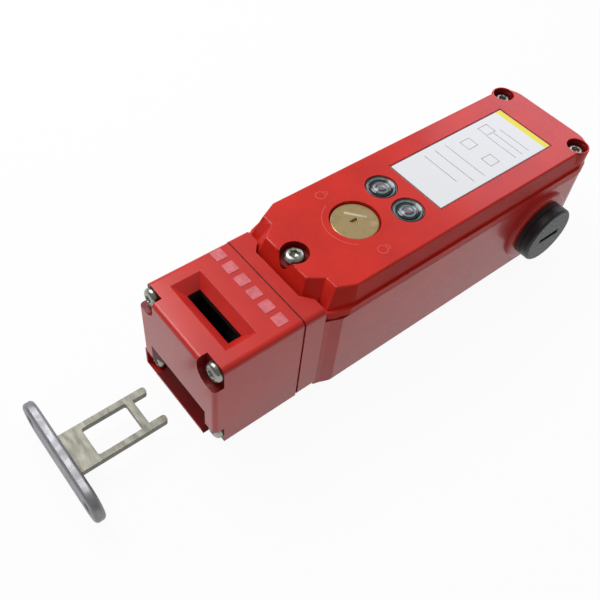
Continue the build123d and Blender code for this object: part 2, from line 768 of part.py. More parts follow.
# Contact block: base with posts for the strips and the spring seat
strip_x = -bridge_reach + 0.4
strip_front_y = bridge_front_y + bridge_t / 2 + strip_gap + strip_t / 2
strip_rear_y = bridge_rear_y + bridge_t / 2 + strip_gap + strip_t / 2
strip_foot_z = floor_t + 4.0
riser_start_y = strip_rear_y + strip_t / 2 + strip_gap
riser_x = strip_x - 3.2
terminal_ys = (riser_start_y + 1.8, riser_start_y + 5.6)
with BuildPart() as contact_block:
    with BuildSketch(at_z(floor_t)):
        with Locations(((5.2 - block_side) / 2, spring_seat_y - 4.8)):
            Rectangle(5.2 + block_side, 9.6)
        with Locations((strip_x - 0.6, (strip_front_y + spring_seat_y - 9.5) / 2)):
            Rectangle(4.6, spring_seat_y - 9.5 - strip_front_y + 1.0)
    extrude(amount=strip_foot_z - floor_t)
    with BuildSketch(at_z(floor_t)):
        with Locations((-1.0, spring_seat_y + 1.2)):
            Rectangle(12.4, 2.4)
    extrude(amount=22.0)
    with BuildSketch(at_z(floor_t)):
        with Locations((riser_x, (riser_start_y + spring_seat_y) / 2)):
            Rectangle(2 * (block_side + riser_x), spring_seat_y - riser_start_y)
    extrude(amount=13.0)
contact_block.part.label = "contact_block"

# Fixed contact strips rising beside the bridges, and their terminal screws
with BuildPart() as fixed_contacts:
    with BuildSketch(at_z(strip_foot_z)):
        with Locations((strip_x, strip_front_y), (strip_x, strip_rear_y)):
            Rectangle(3.0, strip_t)
    extrude(amount=strip_height)
fixed_contacts.part.label = "fixed_contacts"

with BuildPart() as terminal_screws:
    with BuildSketch(at_z(floor_t + 13.0)):
        with Locations((riser_x, terminal_ys[0]), (riser_x, terminal_ys[1])):
            Circle(1.6)
    extrude(amount=1.6)
    with BuildSketch(at_z(floor_t + 14.0)):
        with Locations((riser_x, terminal_ys[0]), (riser_x, terminal_ys[1])):
            Rectangle(2.6, 0.6)
    extrude(amount=2.0, mode=Mode.SUBTRACT)
terminal_screws.part.label = "terminal_screws"


def spring_path(coil_r, start_y, finish_y, x, z, turns):
    length = finish_y - start_y
    return Helix(length / turns, length, coil_r, direction=(0, 1, 0), center=(x, start_y, z))


# Springs of the plunger and of the lock bolt
spring_wire_r = 0.35
plunger_coil = spring_path(2.6, carrier_end_y + 0.4, spring_seat_y - 0.4, 0, plunger_z, 4.5)
with BuildPart() as plunger_spring:
    with BuildSketch(Plane(origin=plunger_coil @ 0, z_dir=plunger_coil % 0)):
        RegularPolygon(spring_wire_r, 6)
    sweep(path=plunger_coil, is_frenet=True)
plunger_spring.part.label = "plunger_spring"

lock_coil = spring_path(3.0, 94.5, 102.5, bolt_x, plunger_z, 4.5)
with BuildPart() as lock_spring:
    with BuildSketch(Plane(origin=lock_coil @ 0, z_dir=lock_coil % 0)):
        RegularPolygon(spring_wire_r, 6)
    sweep(path=lock_coil, is_frenet=True)
lock_spring.part.label = "lock_spring"

# Lock bolt: long rod, follower nose for the release rotor, armature in the coil
follower_y = rotor_y + rotor_cam_max_r + 0.35
with BuildPart() as lock_bolt:
    with BuildSketch(at_y(bolt_tip_y)):
        with Locations((bolt_x, plunger_z)):
            Circle(bolt_r)
    extrude(amount=-(armature_y - bolt_tip_y))
    fillet(lock_bolt.faces().sort_by(Axis.Y)[0].edges(), 0.6)
    with BuildSketch(at_z(plunger_z - bolt_r)):
        with Locations(((bolt_x - 0.5) / 2 + 1.0, follower_y + 5.0)):
            Rectangle(bolt_x + 3.5, 3.6)
    extrude(amount=rotor_cam_z + rotor_cam_t - plunger_z + bolt_r)
    with BuildSketch(at_z(rotor_cam_z)):
        with Locations((0, follower_y + 1.9)):
            Rectangle(1.8, 3.8)
    extrude(amount=rotor_cam_t)
lock_bolt.part.label = "lock_bolt"

with BuildPart() as armature:
    with BuildSketch(at_y(armature_y)):
        with Locations((bolt_x, plunger_z)):
            Circle(bolt_r + 0.4)
    extrude(amount=-(armature_step_y - armature_y))
    with BuildSketch(at_y(armature_step_y)):
        with Locations((bolt_x, plunger_z)):
            Circle(armature_r)
    extrude(amount=-(armature_end_y - armature_step_y))
armature.part.label = "armature"

# Solenoid: bobbin, winding and steel yoke
with BuildPart() as coil_bobbin:
    with BuildSketch(at_y(coil_y)):
        with Locations((bolt_x, plunger_z)):
            Circle(5.4)
    extrude(amount=-coil_length)
    for y in (coil_y, coil_y + coil_length - 1.2):
        with BuildSketch(at_y(y)):
            with Locations((bolt_x, plunger_z)):
                Circle(bobbin_r)
        extrude(amount=-1.2)
    with BuildSketch(at_y(coil_y - 1)):
        with Locations((bolt_x, plunger_z)):
            Circle(armature_r + 0.35)
    extrude(amount=-(coil_length + 2), mode=Mode.SUBTRACT)
coil_bobbin.part.label = "coil_bobbin"

with BuildPart() as coil_winding:
    with BuildSketch(at_y(coil_y + 1.25)):
        with Locations((bolt_x, plunger_z)):
            Circle(coil_r)
            Circle(5.45, mode=Mode.SUBTRACT)
    extrude(amount=-(coil_length - 2.5))
coil_winding.part.label = "coil_winding"

with BuildPart() as coil_yoke:
    with BuildSketch(at_z(floor_t)):
        with Locations((bolt_x, coil_y + coil_length / 2)):
            Rectangle(2 * (bobbin_r - 1.4), coil_length + 4.2)
    extrude(amount=1.8)
    for y in (coil_y - 2.05, coil_y + coil_length + 0.05):
        with BuildSketch(at_y(y)):
            with Locations((bolt_x, floor_t + 14)):
                Rectangle(2 * (bobbin_r - 1.4), 28)
        extrude(amount=-2.0)
    with BuildSketch(at_y(coil_y - 3)):
        with Locations((bolt_x, plunger_z)):
            Circle(armature_r + 0.35)
    extrude(amount=-4, mode=Mode.SUBTRACT)
coil_yoke.part.label = "coil_yoke"

# Terminal block for the field wiring
with BuildPart() as terminal_block:
    with BuildSketch(at_z(floor_t)):
        with Locations((0, terminal_y)):
            Rectangle(2 * terminal_half_width, 9)
    extrude(amount=14)
    with BuildSketch(at_z(floor_t + 4)):
        with Locations((0, terminal_y + 4.5)):
            with GridLocations((2 * terminal_half_width - 0.4) / 8, 1, 8, 1):
                Rectangle(2.8, 6)
    extrude(amount=4, mode=Mode.SUBTRACT)
terminal_block.part.label = "terminal_block"

with BuildPart() as wiring_screws:
    with BuildSketch(at_z(floor_t + 14)):
        with Locations((0, terminal_y - 1.0)):
            with GridLocations((2 * terminal_half_width - 0.4) / 8, 1, 8, 1):
                Circle(1.5)
    extrude(amount=0.9)
wiring_screws.part.label = "wiring_screws"

# Release rotor: brass disc on the lid, and its shaft with the spiral cam at its foot
with BuildPart() as release_rotor:
    with BuildSketch(at_z(rotor_top_z - rotor_disc_t)):
        with Locations((0, rotor_y)):
            Circle(rotor_disc_r)
    extrude(amount=rotor_disc_t)
    chamfer(release_rotor.faces().sort_by(Axis.Z)[-1].edges(), 0.4)
    with BuildSketch(at_z(rotor_top_z - 0.9)):
        with Locations((0, rotor_y)):
            RegularPolygon(2.0, 3)
    extrude(amount=2, mode=Mode.SUBTRACT)
release_rotor.part.label = "release_rotor"

with BuildPart() as rotor_shaft:
    with BuildSketch(at_z(rotor_cam_z)):
        with Locations((0, rotor_y)):
            Circle(rotor_shaft_r)
    extrude(amount=rotor_top_z - rotor_disc_t - rotor_cam_z)
    with BuildSketch(at_z(rotor_cam_z)):
        with BuildLine():
            edge = []
            for i in range(11):
                angle = radians(9 * i)
                reach = rotor_cam_min_r + (rotor_cam_max_r - rotor_cam_min_r) * i / 10
                edge.append((reach * cos(angle), rotor_y + reach * sin(angle)))
            Spline(*edge)
            land = radians(100)
            land_point = (rotor_cam_max_r * cos(land), rotor_y + rotor_cam_max_r * sin(land))
            back = (rotor_cam_min_r * cos(radians(118)), rotor_y + rotor_cam_min_r * sin(radians(118)))
            Polyline(edge[-1], land_point, back)
            ThreePointArc(back, (-3.38, rotor_y - 2.97), edge[0])
        make_face()
    extrude(amount=rotor_cam_t)
rotor_shaft.part.label = "rotor_shaft"

# Tongue: drilled flange with round ends, and the two-pronged blade with its window
with BuildPart() as tongue_flange:
    with BuildSketch(at_y(flange_front_y)):
        with Locations((0, tongue_z)):
            SlotOverall(2 * flange_half_length, flange_height)
            with GridLocations(flange_hole_spacing, 1, 2, 1):
                Circle(flange_hole_r, mode=Mode.SUBTRACT)
    extrude(amount=-flange_t)
    rims = tongue_flange.edges().filter_by(lambda e: e.length > 20)
    chamfer(rims, 0.8)
tongue_flange.part.label = "tongue_flange"

with BuildPart() as tongue_blade:
    with BuildSketch(at_z(tongue_z - blade_t / 2)):
        with Locations((0, (blade_back_y + cross_bar_end_y) / 2)):
            Rectangle(2 * blade_half_width, cross_bar_end_y - blade_back_y)
        for sx in (-1, 1):
            with Locations((sx * (blade_half_width - prong_width / 2), (cross_bar_end_y + blade_tip_y) / 2)):
                Rectangle(prong_width, blade_tip_y - cross_bar_end_y)
        with Locations((0, (window_start_y + window_end_y) / 2)):
            RectangleRounded(
                2 * window_half_width, window_end_y - window_start_y, 0.9, mode=Mode.SUBTRACT
            )
    extrude(amount=blade_t)
    fillet(tongue_blade.edges().filter_by(Axis.Z).group_by(Axis.Y)[-1], 1.2)
tongue_blade.part.label = "tongue_blade"

os.makedirs("parts", exist_ok=True)
export_step(head_casting.part, "parts/head_casting.step")
export_step(head_pads.part, "parts/head_pads.step")
export_step(head_gasket.part, "parts/head_gasket.step")
export_step(head_screws.part, "parts/head_screws.step")
export_step(cam_axle.part, "parts/cam_axle.step")
export_step(axle_retainers.part, "parts/axle_retainers.step")
export_step(cam.part, "parts/cam.step")
export_step(cam_sleeve.part, "parts/cam_sleeve.step")
export_step(lock_sector.part, "parts/lock_sector.step")
export_step(housing.part, "parts/housing.step")
export_step(lid_gasket.part, "parts/lid_gasket.step")
export_step(lid.part, "parts/lid.step")
export_step(lid_screws.part, "parts/lid_screws.step")
export_step(indicator_bezels.part, "parts/indicator_bezels.step")
export_step(indicator_lenses.part, "parts/indicator_lenses.step")
export_step(indicator_board.part, "parts/indicator_board.step")
export_step(board_posts.part, "parts/board_posts.step")
export_step(label_plate.part, "parts/label_plate.step")
export_step(label_strip_part.part, "parts/label_strip.step")
export_step(conduit_plugs.part, "parts/conduit_plugs.step")
export_step(plug_seals.part, "parts/plug_seals.step")
export_step(guide_bushes.part, "parts/guide_bushes.step")
export_step(plunger_rod.part, "parts/plunger_rod.step")
export_step(contact_carrier.part, "parts/contact_carrier.step")
export_step(contact_bridges.part, "parts/contact_bridges.step")
export_step(contact_block.part, "parts/contact_block.step")
export_step(fixed_contacts.part, "parts/fixed_contacts.step")
export_step(terminal_screws.part, "parts/terminal_screws.step")
export_step(plunger_spring.part, "parts/plunger_spring.step")
export_step(lock_spring.part, "parts/lock_spring.step")
export_step(lock_bolt.part, "parts/lock_bolt.step")
export_step(armature.part, "parts/armature.step")
export_step(coil_bobbin.part, "parts/coil_bobbin.step")
export_step(coil_winding.part, "parts/coil_winding.step")
export_step(coil_yoke.part, "parts/coil_yoke.step")
export_step(terminal_block.part, "parts/terminal_block.step")
export_step(wiring_screws.part, "parts/wiring_screws.step")
export_step(release_rotor.part, "parts/release_rotor.step")
export_step(rotor_shaft.part, "parts/rotor_shaft.step")
export_step(tongue_flange.part, "parts/tongue_flange.step")
export_step(tongue_blade.part, "parts/tongue_blade.step")
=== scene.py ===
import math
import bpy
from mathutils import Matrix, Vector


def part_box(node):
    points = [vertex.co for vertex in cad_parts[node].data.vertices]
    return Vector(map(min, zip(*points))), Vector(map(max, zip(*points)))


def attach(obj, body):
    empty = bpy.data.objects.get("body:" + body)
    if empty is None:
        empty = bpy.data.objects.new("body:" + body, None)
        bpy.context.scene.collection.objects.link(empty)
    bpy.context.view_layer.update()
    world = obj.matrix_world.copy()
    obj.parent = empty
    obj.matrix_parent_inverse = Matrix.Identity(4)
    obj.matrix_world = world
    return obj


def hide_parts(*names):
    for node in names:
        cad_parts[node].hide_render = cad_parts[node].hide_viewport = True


bl_info = {
    "name": "Tongue Interlock Switch",
    "version": (1, 0, 0),
    "blender": (4, 5, 0),
    "location": "3D View > Sidebar > Interlock",
    "description": "Dresses the packed tongue interlock switch and sets up its studio",
    "category": "Object",
}

import bmesh
import bpy
from mathutils import Matrix, Vector

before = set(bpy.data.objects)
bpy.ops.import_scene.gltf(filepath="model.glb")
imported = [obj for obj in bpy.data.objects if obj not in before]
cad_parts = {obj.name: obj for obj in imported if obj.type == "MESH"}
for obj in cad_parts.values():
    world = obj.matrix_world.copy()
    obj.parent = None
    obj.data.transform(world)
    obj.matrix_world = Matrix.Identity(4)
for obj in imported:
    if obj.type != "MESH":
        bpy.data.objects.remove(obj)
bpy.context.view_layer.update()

MM = 0.001


def in_metres(points):
    return [tuple(value * MM for value in point) for point in points]


# Places on the switch: Y runs from the head's end face to the tail, Z up from the mounting face.
SIDE_X = 25.76 * MM
ENTRY_Y = 166.0 * MM
ENTRY_Z = 21.0 * MM
INDICATOR_X = 7.5 * MM
INDICATOR_Y = 99.1 * MM
DISC_Y = 79.0 * MM
HEAD_MIDDLE_Z = 23.0 * MM
HEAD_SCREW_OFFSET = 18.7 * MM
HEAD_SCREW_SEAT = 4.2 * MM
FRONT_SCREW = (0.0, 50.6 * MM, 49.4 * MM)
TAIL_SCREW_X = 20.6 * MM
TAIL_SCREW_Y = 185.2 * MM
TAIL_SCREW_SEAT = 47.8 * MM
LABEL_TOP = 52.305 * MM
MARKS_TOP = 52.40 * MM

# Rooms in millimetres, each by its two corners, whose faces get painted shade: dark red in the
# screw pockets, the end slot's funnel, the lid's front screw well and the tail cups, and black
# inside the castings.
HEAD_POCKETS = [
    ((x, -0.1, z), (x + 9.8, 4.3, z + 9.8)) for x in (-23.1, 13.3) for z in (-0.1, 36.3)
]
END_SLOT_FUNNEL = ((-17.4, -0.1, 1.1), (17.4, 4.6, 17.6))
HEAD_INSIDE = [
    ((-13.3, 13.3, 5.7), (13.3, 37.45, 39.1)),
    ((-12.4, 13.3, 38.9), (12.4, 18.9, 42.1)),
    ((-12.4, 4.4, 5.7), (12.4, 13.5, 11.3)),
]
HOUSING_INSIDE = ((-22.6, 42.1, 4.1), (22.6, 189.7, 39.7))
FRONT_SCREW_WELL = ((-5.5, 45.0, 47.2), (5.5, 56.2, 52.45))
LID_INSIDE = ((-20.9, 57.3, 39.0), (20.9, 178.3, 49.5))
TAIL_CUPS_INSIDE = [
    ((x - 4.45, 180.7, 47.7), (x + 4.45, 189.7, 52.25)) for x in (-20.6, 20.6)
]

# Turned profiles as (radius, height), each going once round its cut face.
ENTRY_BOSS = in_metres([
    (17.0, -0.3), (16.8, 1.0), (16.6, 1.5), (16.2, 1.8), (15.7, 1.9), (9.4, 1.9), (9.4, -0.3),
])
TAIL_CUP = in_metres([
    (2.3, 46.3), (5.2, 46.3), (5.2, 51.7), (5.1, 52.1), (4.85, 52.32),
    (4.6, 52.32), (4.4, 52.2), (4.3, 51.9), (4.3, 47.8), (2.3, 47.8),
])
FRONT_SEAT = in_metres([(2.3, 47.3), (5.35, 47.3), (5.35, 49.4), (2.3, 49.4)])
PLUG_COLLAR = in_metres([(12.9, 1.85), (13.2, 2.1), (13.2, 4.1), (9.6, 4.1), (9.6, 1.85)])

# The two thin walls that close the lower left screw pocket, as centre and size.
POCKET_WALLS = (
    in_metres([(-22.55, 2.2, 4.9), (0.7, 4.2, 9.4)]),
    in_metres([(-18.4, 2.2, 0.22), (8.4, 4.2, 0.3)]),
)

# The pale bar across the brass disc, a painted highlight.
BAR_CENTRE, BAR_SIZE = in_metres([(-2.3, 81.3, 51.6), (8.6, 1.1, 0.06)])
BAR_TURN = math.radians(40.3)

# The label's frame, and its plain form lines (x, y, length) and squares (x, y).
LABEL_HALF = 14.2 * MM
LABEL_START = 109.9 * MM
LABEL_END = 175.4 * MM
PRINT_THICKNESS = 0.02 * MM
FORM_LINES = in_metres([
    (3, 165, 16), (3, 161, 16), (3, 157, 16), (0, 138, 22), (0, 132, 22), (-2, 126, 18),
])
FORM_SQUARES = in_metres([(-8.0, 160.0), (-6.0, 147.0), (6.0, 147.0)])
FORM_SQUARE = 5.2 * MM

# The lid's arc and ring marks.
ARC_RADIUS = 12.4 * MM
RING_MARKS = in_metres([(-17.0, 76.5), (16.8, 77.5)])
RING_RADIUS = 1.9 * MM
RING_CAP_RADIUS = 1.2 * MM
MARK_LINE = 0.30 * MM
MARK_RISE = 0.04 * MM

# Cleaning and shading of the CAD copies: faces larger than FLAT_AREA are shaded flat, and
# those of the lid whose normal's Z is below STEEP_NORMAL are its sides, which get painted shade.
MERGE_DISTANCE = 1e-6
CLOSE_DISTANCE = 1e-7
DISSOLVE_ANGLE = math.radians(0.6)
SHARP_ANGLE = math.radians(35.0)
BEVEL_ANGLE = math.radians(32.0)
FLAT_AREA = 60 * MM * MM
STEEP_NORMAL = 0.5

# The camera, solved from the photograph's edges, and the lamps (place, size, share, colour).
CAMERA_LENS = 45.6
CAMERA_SENSOR = 36.0
CAMERA_PLACE = (0.1308, -0.0724, 0.2504)
CAMERA_RIGHT = (0.62474, 0.77682, 0.07907)
CAMERA_UP = (-0.64098, 0.45238, 0.62008)
CAMERA_BACK = (0.44592, -0.43807, 0.78055)
LAMPS = {
    "key": ((-0.40, -0.02, 0.62), 0.5076, 1.0, (1.0, 1.0, 1.0)),
    "back": ((-0.30, 0.92, 0.50), 0.564, 0.55, (0.82, 0.84, 1.0)),
}
LAMP_AIM = (0.0, 0.08, 0.02)
FLOOR_HALF = 6.0
FLOOR_SEEN = (0.9, 0.9, 0.9, 1)
FLOOR_WHITE_SHARE = 0.94
WHITE = (1, 1, 1, 1)


# ---------------------------------------------------------------- settings


class SwitchSizes(bpy.types.PropertyGroup):
    casting_edge: bpy.props.FloatProperty(
        name="Casting edge",
        description="Width of the rounding on the painted castings' edges",
        default=0.55 * MM,
        unit="LENGTH",
    )
    lid_edge: bpy.props.FloatProperty(
        name="Lid edge",
        description="Width of the rounding on the lid's edges",
        default=0.5 * MM,
        unit="LENGTH",
    )
    plate_edge: bpy.props.FloatProperty(
        name="Plate edge",
        description="Width of the rounding on the tongue's edges",
        default=0.35 * MM,
        unit="LENGTH",
    )
    screw_head: bpy.props.FloatProperty(
        name="Screw head",
        description="Radius of the pan heads",
        default=3.9 * MM,
        unit="LENGTH",
    )
    screw_rise: bpy.props.FloatProperty(
        name="Screw rise",
        description="Height of the pan heads",
        default=2.5 * MM,
        unit="LENGTH",
    )
    socket_depth: bpy.props.FloatProperty(
        name="Socket depth",
        description="Depth of the star sockets in the screws",
        default=1.5 * MM,
        unit="LENGTH",
    )
    bezel_radius: bpy.props.FloatProperty(
        name="Bezel radius",
        description="Outer radius of the indicator rings",
        default=6.4 * MM,
        unit="LENGTH",
    )
    lens_radius: bpy.props.FloatProperty(
        name="Lens radius",
        description="Radius of the indicator lenses",
        default=4.3 * MM,
        unit="LENGTH",
    )
    line_width: bpy.props.FloatProperty(
        name="Label line",
        description="Width of the lines printed on the label",
        default=0.35 * MM,
        unit="LENGTH",
    )
    key_power: bpy.props.FloatProperty(
        name="Key power",
        description="Power of the large soft lamp above the switch, in watts",
        default=3.6,
    )
    sky_level: bpy.props.FloatProperty(
        name="Sky level",
        description="Strength of the plain world light on the object",
        default=0.30,
    )


def colour(name, description, value):
    return bpy.props.FloatVectorProperty(
        name=name,
        description=description,
        default=(*value, 1.0),
        size=4,
        subtype="COLOR",
        min=0.0,
        max=1.0,
    )


class SwitchColours(bpy.types.PropertyGroup):
    paint: colour("Paint", "Red enamel of the castings", (0.66, 0.024, 0.016))
    # This red gives the random darker tone of thick enamel. Darkened further, it is also the
    # painted shade in the castings' recesses.
    thick_paint_and_shade: colour("Deep paint", "Red enamel where it lies thick", (0.44, 0.012, 0.012))
    lid_paint: colour("Lid paint", "Orange-red enamel of the lid", (0.70, 0.026, 0.014))
    gasket: colour("Gaskets", "Brown rubber of the flat gaskets", (0.060, 0.012, 0.010))
    mark: colour("Marks", "Raised marks in the lid's own red", (0.72, 0.075, 0.060))
    # Painted highlights and reflections: the teal-grey rings and the purple-grey lens centre.
    ring_highlight: colour("Ring light", "Teal-grey rings of the indicators", (0.24, 0.31, 0.32))
    ring_dark: colour("Ring dark", "Black rings of the indicators", (0.012, 0.016, 0.018))
    lens_centre_reflection: colour("Lens centre", "Purple-grey centre of the lenses", (0.25, 0.17, 0.22))
    pad: colour("Pads", "Pink marking pads on the head", (0.60, 0.125, 0.145))
    rubber: colour("Rubber", "Black rubber of the plug seals", (0.018, 0.014, 0.014))
    screw: colour("Screws", "Plated steel of the screws", (0.42, 0.43, 0.38))
    brass: colour("Brass", "Turned brass of the release disc", (0.46, 0.345, 0.16))
    label: colour("Label", "Satin white label", (0.88, 0.885, 0.90))
    strip: colour("Strip", "Yellow end strip of the label", (0.95, 0.82, 0.01))
    print_grey: colour("Print", "Grey lines printed on the label", (0.10, 0.10, 0.11))
    plug: colour("Plugs", "Black moulded plastic", (0.012, 0.016, 0.017))
    flange: colour("Flange", "Zinc of the tongue's flange", (0.34, 0.342, 0.36))
    blade: colour("Blade", "Stamped steel of the tongue's blade", (0.17, 0.165, 0.14))
    # This black is also the painted shade inside the castings.
    inner: colour("Inner plastic", "Black plastic of the inner pieces", (0.02, 0.02, 0.022))
    board: colour("Board", "Green lacquer of the circuit board", (0.02, 0.12, 0.05))
    copper: colour("Copper", "Copper of the contacts and the winding", (0.72, 0.32, 0.16))
    pin: colour("Inner steel", "Ground steel of pins, springs and bolt", (0.55, 0.55, 0.56))
    # Near-black, so that the cam pieces seen through the head's slots stay dark: painted shade.
    cam: colour("Cam", "Blackened steel of the cam", (0.03, 0.03, 0.03))
    # Pale brass standing in for a highlight across the disc: a painted highlight, not wear.
    bar: colour("Disc bar", "Worn bright brass of the disc's bar", (0.72, 0.64, 0.44))
    floor: colour("Floor", "Plain pale floor", (0.45, 0.45, 0.45))


def sizes():
    return bpy.context.scene.switch_sizes


def colours():
    return bpy.context.scene.switch_colours


# ---------------------------------------------------------------- shaders


def new_material(name):
    material = bpy.data.materials.new(name)
    material.use_nodes = True
    tree = material.node_tree
    return material, tree, tree.nodes["Principled BSDF"]


def object_vector(tree, location=(0, 0, 0), scale=(1, 1, 1)):
    coordinates = tree.nodes.new("ShaderNodeTexCoord")
    mapping = tree.nodes.new("ShaderNodeMapping")
    mapping.vector_type = "POINT"
    mapping.inputs["Location"].default_value = location
    mapping.inputs["Scale"].default_value = scale
    tree.links.new(coordinates.outputs["Object"], mapping.inputs["Vector"])
    return mapping.outputs["Vector"]


def noise(tree, vector, scale, detail):
    node = tree.nodes.new("ShaderNodeTexNoise")
    node.inputs["Scale"].default_value = scale
    node.inputs["Detail"].default_value = detail
    tree.links.new(vector, node.inputs["Vector"])
    return node.outputs["Fac"]


def ramp(tree, fac, low, high, start=0.35, end=0.65):
    node = tree.nodes.new("ShaderNodeMapRange")
    node.inputs["From Min"].default_value = start
    node.inputs["From Max"].default_value = end
    node.inputs["To Min"].default_value = low
    node.inputs["To Max"].default_value = high
    tree.links.new(fac, node.inputs["Value"])
    return node.outputs["Result"]


def mix(tree, fac, first, second):
    node = tree.nodes.new("ShaderNodeMix")
    node.data_type = "RGBA"
    for socket, value in ((node.inputs[6], first), (node.inputs[7], second)):
        if isinstance(value, bpy.types.NodeSocket):
            tree.links.new(value, socket)
        else:
            socket.default_value = value
    tree.links.new(fac, node.inputs[0])
    return node.outputs[2]


def math_node(tree, operation, first, second=None):
    node = tree.nodes.new("ShaderNodeMath")
    node.operation = operation
    for socket, value in zip(node.inputs, (first, second)):
        if isinstance(value, bpy.types.NodeSocket):
            tree.links.new(value, socket)
        elif value is not None:
            socket.default_value = value
    return node.outputs[0]


def bump(tree, bsdf, height, strength, distance):
    node = tree.nodes.new("ShaderNodeBump")
    node.inputs["Strength"].default_value = strength
    node.inputs["Distance"].default_value = distance
    tree.links.new(height, node.inputs["Height"])
    tree.links.new(node.outputs["Normal"], bsdf.inputs["Normal"])


def shade(value, factor):
    return (value[0] * factor, value[1] * factor, value[2] * factor, 1.0)


def enamel(name, paint, specular, coat):
    """Glossy red enamel over a die casting, with orange peel and a little depth."""
    material, tree, bsdf = new_material(name)
    vector = object_vector(tree)
    broad = noise(tree, vector, scale=55.0, detail=2.0)
    fine = noise(tree, vector, scale=1500.0, detail=2.0)
    peel = noise(tree, vector, scale=620.0, detail=2.0)
    thick = ramp(tree, broad, low=0.0, high=0.35)
    tone = mix(tree, thick, tuple(paint), tuple(colours().thick_paint_and_shade))
    speck = mix(tree, ramp(tree, fine, low=0.0, high=0.10), tone, shade(paint, 1.25))
    tree.links.new(speck, bsdf.inputs["Base Color"])
    tree.links.new(ramp(tree, fine, low=0.30, high=0.42), bsdf.inputs["Roughness"])
    bsdf.inputs["Specular IOR Level"].default_value = specular
    bsdf.inputs["Coat Weight"].default_value = coat
    bsdf.inputs["Coat Roughness"].default_value = 0.12
    bump(tree, bsdf, peel, strength=0.22, distance=0.12 * MM)
    return material


def pad_print():
    """Pink pads with a mottled surface."""
    material, tree, bsdf = new_material("pad_pink")
    base = colours().pad
    mottle = noise(tree, object_vector(tree), scale=420.0, detail=4.0)
    tone = mix(tree, ramp(tree, mottle, low=0.0, high=1.0), tuple(base), shade(base, 1.35))
    tree.links.new(tone, bsdf.inputs["Base Color"])
    bsdf.inputs["Roughness"].default_value = 0.45
    bump(tree, bsdf, mottle, strength=0.3, distance=0.1 * MM)
    return material


def rubber(name, base):
    """Matt rubber with a fine grain."""
    material, tree, bsdf = new_material(name)
    grain = noise(tree, object_vector(tree), scale=1800.0, detail=3.0)
    tone = mix(tree, grain, tuple(base), shade(base, 2.2))
    tree.links.new(tone, bsdf.inputs["Base Color"])
    bsdf.inputs["Roughness"].default_value = 0.75
    bump(tree, bsdf, grain, strength=0.3, distance=0.08 * MM)
    return material


def metal(
    name, base, rough, scale=(1, 1, 1), grain=900.0, depth=0.05 * MM, tint=0.75, metallic=1.0
):
    """Metal with a directional grain, small stains and an uneven polish."""
    material, tree, bsdf = new_material(name)
    strokes = noise(tree, object_vector(tree, scale=scale), scale=grain, detail=4.0)
    stains = noise(tree, object_vector(tree), scale=160.0, detail=4.0)
    tone = mix(tree, ramp(tree, strokes, low=0.0, high=1.0), shade(base, tint), tuple(base))
    stained = ramp(tree, stains, low=0.0, high=0.3, start=0.5, end=0.75)
    tone = mix(tree, stained, tone, shade(base, 0.6))
    tree.links.new(tone, bsdf.inputs["Base Color"])
    polish = ramp(tree, strokes, low=rough - 0.08, high=rough + 0.1)
    tree.links.new(polish, bsdf.inputs["Roughness"])
    bsdf.inputs["Metallic"].default_value = metallic
    bump(tree, bsdf, strokes, strength=0.35, distance=depth)
    return material


def turned_brass():
    """Brass disc with the fine rings that turning leaves and a patchy patina."""
    material, tree, bsdf = new_material("turned_brass")
    base = colours().brass
    vector = object_vector(tree, location=(0.0, -DISC_Y, 0.0))
    rings = tree.nodes.new("ShaderNodeTexWave")
    rings.wave_type = "RINGS"
    rings.rings_direction = "Z"
    rings.inputs["Scale"].default_value = 900.0
    rings.inputs["Distortion"].default_value = 0.4
    tree.links.new(vector, rings.inputs["Vector"])
    patina = noise(tree, vector, scale=260.0, detail=4.0)
    tone = mix(tree, ramp(tree, patina, low=0.0, high=0.75), tuple(base), shade(base, 0.62))
    bright = ramp(tree, rings.outputs["Fac"], low=0.0, high=0.12, start=0.0, end=1.0)
    tone = mix(tree, bright, tone, shade(base, 1.4))
    tree.links.new(tone, bsdf.inputs["Base Color"])
    bsdf.inputs["Metallic"].default_value = 0.75
    tree.links.new(ramp(tree, patina, low=0.36, high=0.55), bsdf.inputs["Roughness"])
    bump(tree, bsdf, rings.outputs["Fac"], strength=0.18, distance=0.03 * MM)
    return material


def plastic(name, base, rough=0.4, grain=1400.0, coat=0.0):
    """Moulded plastic with a fine spark-eroded grain."""
    material, tree, bsdf = new_material(name)
    vector = object_vector(tree)
    fine = noise(tree, vector, scale=grain, detail=3.0)
    broad = noise(tree, vector, scale=120.0, detail=2.0)
    tone = mix(tree, ramp(tree, broad, low=0.0, high=0.6), tuple(base), shade(base, 1.5))
    tree.links.new(tone, bsdf.inputs["Base Color"])
    polish = ramp(tree, fine, low=rough - 0.05, high=rough + 0.12)
    tree.links.new(polish, bsdf.inputs["Roughness"])
    bsdf.inputs["Coat Weight"].default_value = coat
    bump(tree, bsdf, fine, strength=0.3, distance=0.06 * MM)
    return material


